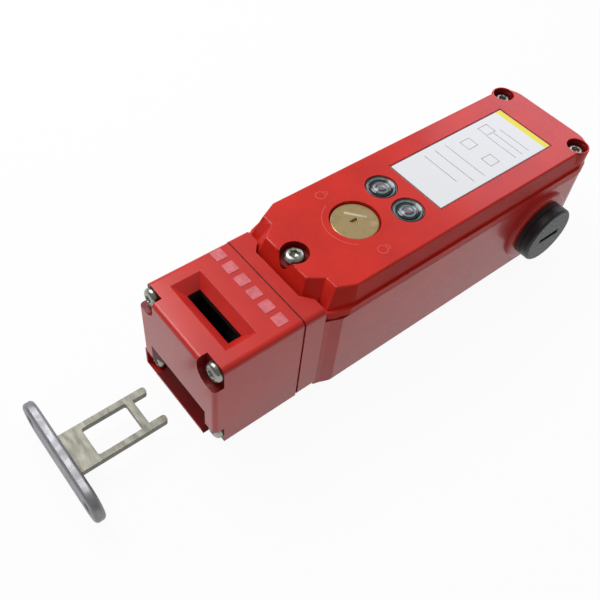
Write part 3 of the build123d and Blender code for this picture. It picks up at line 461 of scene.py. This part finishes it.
def ringed(name, bands, rough, coat):
    """Hard shiny surface in bands of colour round each indicator's own axis: painted highlights
    and reflections.
    """
    material, tree, bsdf = new_material(name)
    parts = tree.nodes.new("ShaderNodeSeparateXYZ")
    tree.links.new(object_vector(tree, location=(0.0, -INDICATOR_Y, 0.0)), parts.inputs[0])
    side = math_node(tree, "ABSOLUTE", parts.outputs[0])
    side = math_node(tree, "SUBTRACT", side, INDICATOR_X)
    side = math_node(tree, "POWER", side, 2.0)
    along = math_node(tree, "POWER", parts.outputs[1], 2.0)
    radius = math_node(tree, "SQRT", math_node(tree, "ADD", side, along))
    soft = 0.12 * MM
    tone = tuple(bands[0][1])
    for reach, band in bands[1:]:
        fac = ramp(tree, radius, low=0.0, high=1.0, start=reach - soft, end=reach + soft)
        tone = mix(tree, fac, tone, tuple(band))
    cloud = noise(tree, object_vector(tree), scale=700.0, detail=2.0)
    tone = mix(tree, ramp(tree, cloud, low=0.0, high=0.3), tone, shade(bands[0][1], 0.4))
    tree.links.new(tone, bsdf.inputs["Base Color"])
    bsdf.inputs["Roughness"].default_value = rough
    bsdf.inputs["Coat Weight"].default_value = coat
    bump(tree, bsdf, cloud, strength=0.06, distance=0.1 * MM)
    return material


def satin_label(name, base):
    """Printed film with a faint weave in its surface."""
    material, tree, bsdf = new_material(name)
    weave = noise(tree, object_vector(tree), scale=900.0, detail=2.0)
    tone = mix(tree, ramp(tree, weave, low=0.0, high=0.4), tuple(base), shade(base, 0.94))
    tree.links.new(tone, bsdf.inputs["Base Color"])
    bsdf.inputs["Roughness"].default_value = 0.38
    bump(tree, bsdf, weave, strength=0.08, distance=0.03 * MM)
    return material


MATERIALS = {}


def material(name):
    c = colours()
    fine = 0.01 * MM
    finest = 0.004 * MM
    # Painted highlight on the bezels' inner slope, and painted rings of reflection on the lens
    # domes.
    bezel_highlight_bands = ((0, c.ring_dark), (4.9 * MM, c.ring_highlight), (5.45 * MM, c.ring_dark))
    lens_reflection_bands = (
        (0, c.ring_highlight),
        (0.7 * MM, c.lens_centre_reflection),
        (1.7 * MM, c.ring_dark),
        (2.2 * MM, c.ring_highlight),
        (3.1 * MM, c.ring_dark),
    )
    makers = {
        "red_enamel": lambda: enamel(name, c.paint, specular=0.36, coat=0.26),
        # Painted shade: a dark copy of the red enamel for the screw pockets, the slot's funnel
        # and other recesses.
        "painted_shade_enamel": lambda: enamel(
            name, shade(c.thick_paint_and_shade, 0.42), specular=0.25, coat=0.05
        ),
        # Painted shade: the lid enamel with less reflection, so that the lid's sides show
        # darker.
        "lid_side": lambda: enamel(name, c.lid_paint, specular=0.10, coat=0.04),
        "lid_enamel": lambda: enamel(name, c.lid_paint, specular=0.24, coat=0.22),
        "lid_mark": lambda: plastic(name, c.mark),
        "pad_pink": pad_print,
        "seal_rubber": lambda: rubber(name, c.rubber),
        "gasket_brown": lambda: rubber(name, c.gasket),
        "screw_steel": lambda: metal(name, c.screw, 0.30, grain=500.0, depth=fine),
        "pin_steel": lambda: metal(name, c.pin, 0.28),
        # Painted shade: near-black steel for the cam pieces inside the head.
        "cam_steel_shaded": lambda: metal(name, c.cam, 0.55, depth=fine),
        "copper": lambda: metal(name, c.copper, 0.3, scale=(1, 1, 0.05)),
        "bush_brass": lambda: metal(name, c.brass, 0.35),
        "turned_brass": turned_brass,
        # Painted highlight: the pale bar across the release disc.
        "brass_painted_highlight": lambda: metal(
            name, c.bar, 0.35, grain=150.0, depth=fine, metallic=0.5
        ),
        "flange_zinc": lambda: metal(
            name, c.flange, 0.50, grain=260.0, depth=finest, tint=0.88, metallic=0.8
        ),
        "blade_steel": lambda: metal(
            name, c.blade, 0.42, scale=(0.3, 1.0, 1.0), grain=420.0, depth=finest, tint=0.86
        ),
        "bezel_black_and_highlight": lambda: ringed(name, bezel_highlight_bands, rough=0.20, coat=0.5),
        "lens_painted_reflections": lambda: ringed(name, lens_reflection_bands, rough=0.12, coat=0.6),
        "label_white": lambda: satin_label(name, c.label),
        "label_yellow": lambda: satin_label(name, c.strip),
        "label_print": lambda: satin_label(name, c.print_grey),
        "plug_black": lambda: plastic(name, c.plug, grain=900.0),
        # The inner plastic's black, also used as painted shade inside the castings.
        "inner_black_and_shade": lambda: plastic(name, c.inner, 0.5),
        "board_green": lambda: plastic(name, c.board, 0.35, coat=0.4),
    }
    if name not in MATERIALS:
        MATERIALS[name] = makers[name]()
    return MATERIALS[name]


# ---------------------------------------------------------------- shapes


def finish_piece(obj, body, paint, nodes=()):
    obj.data.materials.clear()
    obj.data.materials.append(material(paint))
    for node in nodes:
        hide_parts(node)
    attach(obj, body)


def add_mesh(name, bm):
    """Makes the bmesh a scene object, smooth but for its sharp edges."""
    bmesh.ops.recalc_face_normals(bm, faces=bm.faces)
    mesh = bpy.data.meshes.new(name)
    for face in bm.faces:
        face.smooth = True
    bm.to_mesh(mesh)
    bm.free()
    mesh.set_sharp_from_angle(angle=SHARP_ANGLE)
    obj = bpy.data.objects.new(name, mesh)
    bpy.context.scene.collection.objects.link(obj)
    return obj


def add_part(bm, part, place):
    """Moves a finished part to its place and adds it to bm."""
    bmesh.ops.transform(part, matrix=place, verts=part.verts)
    mesh = bpy.data.meshes.new("part")
    part.to_mesh(mesh)
    part.free()
    bm.from_mesh(mesh)
    bpy.data.meshes.remove(mesh)


def add_box(bm, centre, size, turn=0.0):
    """Adds a box by its centre and size, turned about Z."""
    place = Matrix.Translation(centre) @ Matrix.Rotation(turn, 4, "Z")
    bmesh.ops.create_cube(bm, size=1.0, matrix=place @ Matrix.Diagonal((*size, 1)))


def dressed(node, name, width, segments=3, shape=None):
    """A clean copy of a CAD mesh with rounded edges; shape, where given, cuts it first."""
    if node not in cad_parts:
        raise RuntimeError("the frame has no node " + node)
    bm = bmesh.new()
    bm.from_mesh(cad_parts[node].data)
    bmesh.ops.remove_doubles(bm, verts=bm.verts, dist=MERGE_DISTANCE)
    bmesh.ops.dissolve_limit(bm, angle_limit=DISSOLVE_ANGLE, verts=bm.verts, edges=bm.edges)
    if shape:
        shape(bm)
    obj = add_mesh(name, bm)
    for face in obj.data.polygons:
        if face.area > FLAT_AREA:
            face.use_smooth = False
    if width > 0:
        rounding = obj.modifiers.new("rounding", "BEVEL")
        rounding.limit_method = "ANGLE"
        rounding.angle_limit = BEVEL_ANGLE
        rounding.width = width
        rounding.segments = segments
        rounding.profile = 0.5
        rounding.material = -1
        rounding.use_clamp_overlap = True
        rounding.harden_normals = True
    return obj


def plain_node(node, paint):
    """Gives a CAD node its material where its own shape is already right."""
    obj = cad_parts[node]
    obj.data.materials.clear()
    obj.data.materials.append(material(paint))


def paint_faces(obj, paint, chosen):
    """Gives the chosen faces another finish."""
    slot = len(obj.data.materials)
    obj.data.materials.append(material(paint))
    for face in obj.data.polygons:
        if chosen(face):
            face.material_index = slot


def paint_rooms(obj, paint, rooms):
    """Paints shade on the faces that lie wholly inside one of the rooms, as another material."""

    def inside(face):
        corners = [obj.data.vertices[i].co / MM for i in face.vertices]
        return any(
            all(a <= m <= b for c in corners for a, m, b in zip(low, c, high))
            for low, high in rooms
        )

    paint_faces(obj, paint, inside)


def ring_stack(bm, rings, segments, cap_start=False, cap_end=True):
    """Stacks circles of (radius, height) into a turned skin; a third value makes six lobes."""
    made = bmesh.ops.create_circle(
        bm,
        cap_ends=False,
        segments=segments,
        radius=rings[0][0],
        matrix=Matrix.Translation((0, 0, rings[0][1])),
    )
    edges = list({e for v in made["verts"] for e in v.link_edges})
    if cap_start:
        bmesh.ops.contextual_create(bm, geom=edges)
    for ring in rings[1:]:
        grown = bmesh.ops.extrude_edge_only(bm, edges=edges)["geom"]
        verts = {g for g in grown if isinstance(g, bmesh.types.BMVert)}
        grown_edges = [g for g in grown if isinstance(g, bmesh.types.BMEdge)]
        edges = [e for e in grown_edges if e.verts[0] in verts and e.verts[1] in verts]
        lobes = ring[2] if len(ring) > 2 else 0.0
        for v in verts:
            angle = math.atan2(v.co.y, v.co.x)
            radius = ring[0] * (1.0 + lobes * math.cos(6 * angle))
            v.co = Vector((radius * math.cos(angle), radius * math.sin(angle), ring[1]))
    if cap_end:
        bmesh.ops.contextual_create(bm, geom=edges)


def turned(name, profile, places, segments=64):
    """Turned pieces from a closed profile of (radius, height), one at each place."""
    bm = bmesh.new()
    for place in places:
        part = bmesh.new()
        ring_stack(part, [*profile, profile[0]], segments, cap_end=False)
        bmesh.ops.remove_doubles(part, verts=part.verts, dist=CLOSE_DISTANCE)
        add_part(bm, part, place)
    return add_mesh(name, bm)


def pan_screw(bm, place, shank_radius, shank_length):
    """A pan-head screw with a six-lobed socket, its seat at the place's origin, head up +Z."""
    s = sizes()
    r = s.screw_head
    h = s.screw_rise
    part = bmesh.new()
    rings = [
        (shank_radius, -shank_length),
        (shank_radius, 0.0),
        (r * 0.97, 0.0),
        (r, h * 0.08),
        (r, h * 0.38),
        (r * 0.97, h * 0.58),
        (r * 0.89, h * 0.78),
        (r * 0.76, h * 0.93),
        (r * 0.60, h),
        (r * 0.50, h),
        (r * 0.46, h * 0.985, 0.12),
        (r * 0.44, h * 0.95, 0.13),
        (r * 0.41, h - s.socket_depth, 0.13),
        (r * 0.12, h - s.socket_depth * 1.25),
    ]
    ring_stack(part, rings, segments=60, cap_start=True)
    add_part(bm, part, place)


def level_sides(bm):
    """Cuts the housing's sides level where the round entry bosses stand."""
    for sx in (-1, 1):
        cut = bmesh.ops.bisect_plane(
            bm,
            geom=[*bm.verts, *bm.edges, *bm.faces],
            plane_co=(sx * SIDE_X, 0, 0),
            plane_no=(sx, 0, 0),
            clear_outer=True,
        )
        edges = [g for g in cut["geom_cut"] if isinstance(g, bmesh.types.BMEdge)]
        bmesh.ops.triangle_fill(bm, edges=edges, use_beauty=True)


def entry_places():
    """The two side entries, each with +Z out of the housing's side."""
    return [
        Matrix.Translation((sx * SIDE_X, ENTRY_Y, ENTRY_Z))
        @ Matrix.Rotation(sx * math.pi / 2, 4, "Y")
        for sx in (-1, 1)
    ]


def swept_line(bm, centre, radius, start, sweep, width, rise, steps):
    """A thin raised line along an arc; a full turn closes on itself."""
    whole = abs(sweep) >= 359.9
    place = Matrix.Translation((centre[0] + radius, centre[1], centre[2]))
    shape = Matrix.Rotation(math.radians(90), 4, "X") @ Matrix.Diagonal((width, rise, 1, 1))
    made = bmesh.ops.create_grid(bm, x_segments=1, y_segments=1, size=0.5, matrix=place @ shape)
    verts = made["verts"]
    turn = Matrix.Rotation(math.radians(start), 3, "Z")
    bmesh.ops.rotate(bm, verts=verts, cent=centre, matrix=turn)
    edges = list({e for v in verts for e in v.link_edges})
    faces = list({f for v in verts for f in v.link_faces})
    if whole:
        bmesh.ops.delete(bm, geom=faces, context="FACES_ONLY")
        faces = []
    bmesh.ops.spin(
        bm,
        geom=verts + edges + faces,
        cent=centre,
        axis=(0, 0, 1),
        angle=math.radians(sweep),
        steps=steps,
        use_merge=whole,
    )


# ---------------------------------------------------------------- pieces


class SWITCH_OT_castings(bpy.types.Operator):
    """Dress the head casting, the housing and the lid in red enamel"""

    bl_idname = "switch.castings"
    bl_label = "Castings"

    def execute(self, context):
        s = sizes()
        head = dressed("head_casting", "head_casting_dressed", s.casting_edge)
        finish_piece(head, "switch", "red_enamel", ("head_casting",))
        # Painted shade: dark red in the head's screw pockets and the end slot's funnel.
        paint_rooms(head, "painted_shade_enamel", [*HEAD_POCKETS, END_SLOT_FUNNEL])
        # Painted shade: black on the head's inside and the throat of its slots.
        paint_rooms(head, "inner_black_and_shade", HEAD_INSIDE)
        housing = dressed("housing", "housing_dressed", s.casting_edge, shape=level_sides)
        finish_piece(housing, "switch", "red_enamel", ("housing",))
        # Painted shade: black on the housing's inside.
        paint_rooms(housing, "inner_black_and_shade", [HOUSING_INSIDE])
        lid = dressed("lid", "lid_dressed", s.lid_edge)
        finish_piece(lid, "switch", "lid_enamel", ("lid",))
        # Painted shade: the lid's sides get a less glossy copy of its enamel.
        paint_faces(lid, "lid_side", lambda face: abs(face.normal.z) < STEEP_NORMAL)
        # Painted shade: dark red in the well of the lid's front screw.
        paint_rooms(lid, "painted_shade_enamel", [FRONT_SCREW_WELL])
        # Painted shade: black on the lid's inside.
        paint_rooms(lid, "inner_black_and_shade", [LID_INSIDE])
        return {"FINISHED"}


class SWITCH_OT_bosses(bpy.types.Operator):
    """Make the round bosses of the side entries and the cups of the tail screws"""

    bl_idname = "switch.bosses"
    bl_label = "Bosses"

    def execute(self, context):
        piece = turned("entry_bosses", ENTRY_BOSS, entry_places(), segments=96)
        finish_piece(piece, "switch", "red_enamel")
        places = [
            Matrix.Translation((x, TAIL_SCREW_Y, 0)) for x in (-TAIL_SCREW_X, TAIL_SCREW_X)
        ]
        piece = turned("screw_cups", TAIL_CUP, places)
        finish_piece(piece, "switch", "lid_enamel")
        # Painted shade: dark red inside the tail screw cups.
        paint_rooms(piece, "painted_shade_enamel", TAIL_CUPS_INSIDE)
        # Painted shade: the front screw's seat, deep in its well, is dark red all over.
        place = Matrix.Translation((0, FRONT_SCREW[1], 0))
        piece = turned("front_screw_seat", FRONT_SEAT, [place])
        finish_piece(piece, "switch", "painted_shade_enamel")
        bm = bmesh.new()
        for centre, size in POCKET_WALLS:
            add_box(bm, centre, size)
        piece = add_mesh("corner_web", bm)
        finish_piece(piece, "switch", "red_enamel")
        return {"FINISHED"}


class SWITCH_OT_head_trim(bpy.types.Operator):
    """Dress the marking pads and the gaskets"""

    bl_idname = "switch.head_trim"
    bl_label = "Pads and gaskets"

    def execute(self, context):
        pads = dressed("head_pads", "marking_pads", 0.05 * MM)
        finish_piece(pads, "switch", "pad_pink", ("head_pads",))
        for node, paint in (
            ("head_gasket", "gasket_brown"),
            ("lid_gasket", "gasket_brown"),
            ("plug_seals", "seal_rubber"),
        ):
            plain_node(node, paint)
        return {"FINISHED"}


class SWITCH_OT_screws(bpy.types.Operator):
    """Make the pan-head screws of the head and of the lid"""

    bl_idname = "switch.screws"
    bl_label = "Screws"

    def execute(self, context):
        shank_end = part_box("head_screws")[1].y
        bm = bmesh.new()
        for sx in (-1, 1):
            for sz in (-1, 1):
                z = HEAD_MIDDLE_Z + sz * HEAD_SCREW_OFFSET
                place = Matrix.Translation((sx * HEAD_SCREW_OFFSET, HEAD_SCREW_SEAT, z))
                turn = Matrix.Rotation(0.4 * sx + 0.2 * sz, 4, "Z")
                outward = Matrix.Rotation(math.radians(90), 4, "X")
                pan_screw(bm, place @ outward @ turn, 2.0 * MM, shank_end - HEAD_SCREW_SEAT)
        piece = add_mesh("head_pan_screws", bm)
        finish_piece(piece, "switch", "screw_steel", ("head_screws",))
        bm = bmesh.new()
        for spot, turn in (
            (FRONT_SCREW, 0.2),
            ((-TAIL_SCREW_X, TAIL_SCREW_Y, TAIL_SCREW_SEAT), 0.5),
            ((TAIL_SCREW_X, TAIL_SCREW_Y, TAIL_SCREW_SEAT), -0.1),
        ):
            place = Matrix.Translation(spot) @ Matrix.Rotation(turn, 4, "Z")
            pan_screw(bm, place, 1.9 * MM, 16.0 * MM)
        piece = add_mesh("lid_pan_screws", bm)
        finish_piece(piece, "switch", "screw_steel", ("lid_screws",))
        return {"FINISHED"}


class SWITCH_OT_rotor(bpy.types.Operator):
    """Make the brass release disc and the pale bar across it, a painted highlight"""

    bl_idname = "switch.rotor"
    bl_label = "Release disc"

    def execute(self, context):
        piece = dressed("release_rotor", "release_disc", 0.25 * MM, segments=2)
        finish_piece(piece, "rotor", "turned_brass", ("release_rotor",))
        bm = bmesh.new()
        # The bar is a painted highlight.
        add_box(bm, BAR_CENTRE, BAR_SIZE, BAR_TURN)
        bar = add_mesh("disc_highlight_bar", bm)
        finish_piece(bar, "rotor", "brass_painted_highlight")
        return {"FINISHED"}


class SWITCH_OT_indicators(bpy.types.Operator):
    """Make the indicator rings, lenses and their board"""

    bl_idname = "switch.indicators"
    bl_label = "Indicators"

    def execute(self, context):
        s = sizes()
        ring = s.bezel_radius
        lens = s.lens_radius
        bore = lens + 0.06 * MM
        foot = 46.4 * MM
        shelf = 50.9 * MM
        top = 52.2 * MM
        places = [Matrix.Translation((x, INDICATOR_Y, 0)) for x in (-INDICATOR_X, INDICATOR_X)]
        profile = [
            (bore, foot),
            (lens + 0.80 * MM, foot),
            (lens + 0.80 * MM, shelf),
            (ring, shelf),
            (ring, top - 0.45 * MM),
            (ring - 0.15 * MM, top - 0.12 * MM),
            (ring - 0.5 * MM, top),
            (ring - 0.9 * MM, top - 0.1 * MM),
            (lens + 0.5 * MM, top - 0.7 * MM),
            (bore, top - 0.9 * MM),
        ]
        # The indicator rings carry a painted highlight band.
        piece = turned("indicator_rings", profile, places)
        finish_piece(piece, "switch", "bezel_black_and_highlight", ("indicator_bezels",))
        rings = [
            (lens, 43.2 * MM),
            (lens, 51.0 * MM),
            (lens * 0.97, 51.5 * MM),
            (lens * 0.88, 51.85 * MM),
            (lens * 0.78, 51.95 * MM),
            (lens * 0.68, 51.75 * MM),
            (lens * 0.60, 51.70 * MM),
            (lens * 0.52, 51.95 * MM),
            (lens * 0.38, 52.18 * MM),
            (lens * 0.20, 52.30 * MM),
            (lens * 0.05, 52.33 * MM),
        ]
        bm = bmesh.new()
        for place in places:
            part = bmesh.new()
            ring_stack(part, rings, segments=64, cap_start=True)
            add_part(bm, part, place)
        # The lens domes carry painted reflections in rings.
        piece = add_mesh("indicator_domes", bm)
        finish_piece(piece, "switch", "lens_painted_reflections", ("indicator_lenses",))
        plain_node("indicator_board", "board_green")
        plain_node("board_posts", "inner_black_and_shade")
        return {"FINISHED"}


class SWITCH_OT_label(bpy.types.Operator):
    """Dress the rating label, its strip and its plain printed lines"""

    bl_idname = "switch.label"
    bl_label = "Label"

    def execute(self, context):
        plate = dressed("label_plate", "label_film", 0.0)
        finish_piece(plate, "switch", "label_white", ("label_plate",))
        strip = dressed("label_strip", "label_end_strip", 0.0)
        finish_piece(strip, "switch", "label_yellow", ("label_strip",))
        width = sizes().line_width
        rule = width * 0.6
        half = LABEL_HALF - width / 2
        start = LABEL_START + width / 2
        end = LABEL_END - width / 2
        bars = [((0, y), (2 * half + width, width)) for y in (start, end)]
        bars += [((sx * half, (start + end) / 2), (width, end - start)) for sx in (-1, 1)]
        bars += [((x, y), (length, rule)) for x, y, length in FORM_LINES]
        for x, y in FORM_SQUARES:
            for sx, sy in ((-1, 0), (1, 0), (0, -1), (0, 1)):
                centre = (x + sx * FORM_SQUARE / 2, y + sy * FORM_SQUARE / 2)
                size = (rule + FORM_SQUARE * abs(sy), rule + FORM_SQUARE * abs(sx))
                bars.append((centre, size))
        bm = bmesh.new()
        for centre, size in bars:
            add_box(bm, (*centre, LABEL_TOP), (*size, PRINT_THICKNESS))
        piece = add_mesh("label_lines", bm)
        finish_piece(piece, "switch", "label_print")
        return {"FINISHED"}


class SWITCH_OT_marks(bpy.types.Operator):
    """Print the turning arc and two plain ring marks beside the release disc"""

    bl_idname = "switch.marks"
    bl_label = "Marks"

    def execute(self, context):
        bm = bmesh.new()
        line = (MARK_LINE, MARK_RISE)
        swept_line(bm, Vector((0, DISC_Y, MARKS_TOP)), ARC_RADIUS, 200.0, 125.0, *line, 48)
        for x, y in RING_MARKS:
            centre = Vector((x, y, MARKS_TOP))
            swept_line(bm, centre, RING_RADIUS, 0.0, 360.0, *line, 32)
            centre = Vector((x, y + RING_RADIUS, MARKS_TOP))
            swept_line(bm, centre, RING_CAP_RADIUS, 10.0, 160.0, *line, 16)
        piece = add_mesh("lid_marks", bm)
        finish_piece(piece, "switch", "lid_mark")
        return {"FINISHED"}


class SWITCH_OT_plugs(bpy.types.Operator):
    """Dress the blanking plugs of the side entries"""

    bl_idname = "switch.plugs"
    bl_label = "Plugs"

    def execute(self, context):
        piece = turned("plug_collars", PLUG_COLLAR, entry_places(), segments=96)
        finish_piece(piece, "switch", "plug_black")
        piece = dressed("conduit_plugs", "blanking_plugs", 0.4 * MM)
        finish_piece(piece, "switch", "plug_black", ("conduit_plugs",))
        return {"FINISHED"}


class SWITCH_OT_tongue(bpy.types.Operator):
    """Dress the tongue's flange and blade"""

    bl_idname = "switch.tongue"
    bl_label = "Tongue"

    def execute(self, context):
        s = sizes()
        piece = dressed("tongue_flange", "flange_dressed", s.plate_edge)
        finish_piece(piece, "tongue", "flange_zinc", ("tongue_flange",))
        piece = dressed("tongue_blade", "blade_dressed", s.plate_edge * 0.8)
        finish_piece(piece, "tongue", "blade_steel", ("tongue_blade",))
        return {"FINISHED"}


class SWITCH_OT_mechanism(bpy.types.Operator):
    """Give the inner pieces their materials"""

    bl_idname = "switch.mechanism"
    bl_label = "Inner pieces"

    def execute(self, context):
        for node, paint, slot in (
            # The cam, its axle, sleeve and lock sector take the near-black steel as painted
            # shade.
            ("cam_axle", "cam_steel_shaded", "pin_steel"),
            ("axle_retainers", "inner_black_and_shade", "black_plastic"),
            ("cam", "cam_steel_shaded", "pin_steel"),
            ("cam_sleeve", "cam_steel_shaded", "pin_steel"),
            ("lock_sector", "cam_steel_shaded", "pin_steel"),
            ("rotor_shaft", "pin_steel", "pin_steel"),
            ("guide_bushes", "bush_brass", "bush_brass"),
            ("plunger_rod", "pin_steel", "pin_steel"),
            ("contact_carrier", "inner_black_and_shade", "black_plastic"),
            ("contact_bridges", "copper", "contact_copper"),
            ("contact_block", "inner_black_and_shade", "black_plastic"),
            ("fixed_contacts", "copper", "contact_copper"),
            ("terminal_screws", "screw_steel", "screw_steel"),
            ("plunger_spring", "pin_steel", "pin_steel"),
            ("lock_spring", "pin_steel", "pin_steel"),
            ("lock_bolt", "pin_steel", "pin_steel"),
            ("armature", "pin_steel", "pin_steel"),
            ("coil_bobbin", "inner_black_and_shade", "black_plastic"),
            ("coil_winding", "copper", "contact_copper"),
            ("coil_yoke", "pin_steel", "pin_steel"),
            ("terminal_block", "inner_black_and_shade", "black_plastic"),
            ("wiring_screws", "screw_steel", "screw_steel"),
        ):
            plain_node(node, paint)
        return {"FINISHED"}


# ---------------------------------------------------------------- stage


def floor_material():
    """Pale floor that shows white and keeps the object's soft shadow."""
    material, tree, bsdf = new_material("studio_floor")
    tree.nodes.remove(bsdf)
    output = tree.nodes["Material Output"]
    path = tree.nodes.new("ShaderNodeLightPath")
    camera_ray = path.outputs["Is Camera Ray"]
    diffuse = tree.nodes.new("ShaderNodeBsdfDiffuse")
    pale = mix(tree, camera_ray, tuple(colours().floor), FLOOR_SEEN)
    tree.links.new(pale, diffuse.inputs["Color"])
    white = tree.nodes.new("ShaderNodeEmission")
    white.inputs["Color"].default_value = WHITE
    white.inputs["Strength"].default_value = 1.0
    seen = math_node(tree, "MAXIMUM", camera_ray, path.outputs["Is Glossy Ray"])
    share = math_node(tree, "MULTIPLY", seen, FLOOR_WHITE_SHARE)
    blend = tree.nodes.new("ShaderNodeMixShader")
    tree.links.new(share, blend.inputs[0])
    tree.links.new(diffuse.outputs[0], blend.inputs[1])
    tree.links.new(white.outputs[0], blend.inputs[2])
    tree.links.new(blend.outputs[0], output.inputs["Surface"])
    return material


def plain_world(level):
    """White to the camera, and an even light of the given level on the object."""
    world = bpy.data.worlds.new("studio")
    world.use_nodes = True
    tree = world.node_tree
    light = tree.nodes["Background"]
    light.inputs["Color"].default_value = WHITE
    light.inputs["Strength"].default_value = level
    white = tree.nodes.new("ShaderNodeBackground")
    white.inputs["Color"].default_value = WHITE
    white.inputs["Strength"].default_value = 1.0
    path = tree.nodes.new("ShaderNodeLightPath")
    blend = tree.nodes.new("ShaderNodeMixShader")
    tree.links.new(path.outputs["Is Camera Ray"], blend.inputs[0])
    tree.links.new(light.outputs[0], blend.inputs[1])
    tree.links.new(white.outputs[0], blend.inputs[2])
    tree.links.new(blend.outputs[0], tree.nodes["World Output"].inputs["Surface"])
    return world


class SWITCH_OT_studio(bpy.types.Operator):
    """Set the floor, the world, the lamps and the camera"""

    bl_idname = "switch.studio"
    bl_label = "Studio"

    def execute(self, context):
        scene = context.scene
        s = sizes()
        bm = bmesh.new()
        bmesh.ops.create_grid(bm, x_segments=1, y_segments=1, size=FLOOR_HALF)
        floor = add_mesh("floor", bm)
        floor.data.materials.append(floor_material())
        scene.world = plain_world(s.sky_level)

        for name, (place, size, share, tint) in LAMPS.items():
            lamp = bpy.data.lights.new(name, "AREA")
            lamp.shape = "DISK"
            lamp.size = size
            lamp.energy = s.key_power * share
            lamp.color = tint
            holder = bpy.data.objects.new(name, lamp)
            holder.location = place
            aim = Vector(LAMP_AIM) - Vector(place)
            holder.rotation_euler = aim.to_track_quat("-Z", "Y").to_euler()
            scene.collection.objects.link(holder)

        camera = bpy.data.cameras.new("camera")
        camera.lens = CAMERA_LENS
        camera.sensor_width = CAMERA_SENSOR
        camera.clip_start = 0.01
        holder = bpy.data.objects.new("camera", camera)
        axes = Matrix((CAMERA_RIGHT, CAMERA_UP, CAMERA_BACK)).transposed().to_4x4()
        holder.matrix_world = Matrix.Translation(CAMERA_PLACE) @ axes
        scene.collection.objects.link(holder)
        scene.camera = holder
        scene.view_settings.view_transform = "Standard"
        return {"FINISHED"}


class SWITCH_PT_panel(bpy.types.Panel):
    bl_label = "Tongue interlock switch"
    bl_idname = "SWITCH_PT_panel"
    bl_space_type = "VIEW_3D"
    bl_region_type = "UI"
    bl_category = "Interlock"

    def draw(self, context):
        for operator in OPERATORS:
            self.layout.operator(operator.bl_idname)
        for group in (context.scene.switch_sizes, context.scene.switch_colours):
            for item in group.bl_rna.properties:
                if item.identifier not in ("rna_type", "name"):
                    self.layout.prop(group, item.identifier)


OPERATORS = (
    SWITCH_OT_castings,
    SWITCH_OT_bosses,
    SWITCH_OT_head_trim,
    SWITCH_OT_screws,
    SWITCH_OT_rotor,
    SWITCH_OT_indicators,
    SWITCH_OT_label,
    SWITCH_OT_marks,
    SWITCH_OT_plugs,
    SWITCH_OT_tongue,
    SWITCH_OT_mechanism,
    SWITCH_OT_studio,
)
CLASSES = (SwitchSizes, SwitchColours, *OPERATORS, SWITCH_PT_panel)


def register():
    for cls in CLASSES:
        bpy.utils.register_class(cls)
    bpy.types.Scene.switch_sizes = bpy.props.PointerProperty(type=SwitchSizes)
    bpy.types.Scene.switch_colours = bpy.props.PointerProperty(type=SwitchColours)


def unregister():
    del bpy.types.Scene.switch_colours
    del bpy.types.Scene.switch_sizes
    for cls in reversed(CLASSES):
        bpy.utils.unregister_class(cls)


def main():
    register()
    bpy.ops.switch.castings()
    bpy.ops.switch.bosses()
    bpy.ops.switch.head_trim()
    bpy.ops.switch.screws()
    bpy.ops.switch.rotor()
    bpy.ops.switch.indicators()
    bpy.ops.switch.label()
    bpy.ops.switch.marks()
    bpy.ops.switch.plugs()
    bpy.ops.switch.tongue()
    bpy.ops.switch.mechanism()
    bpy.ops.switch.studio()


if __name__ == "__main__":
    main()
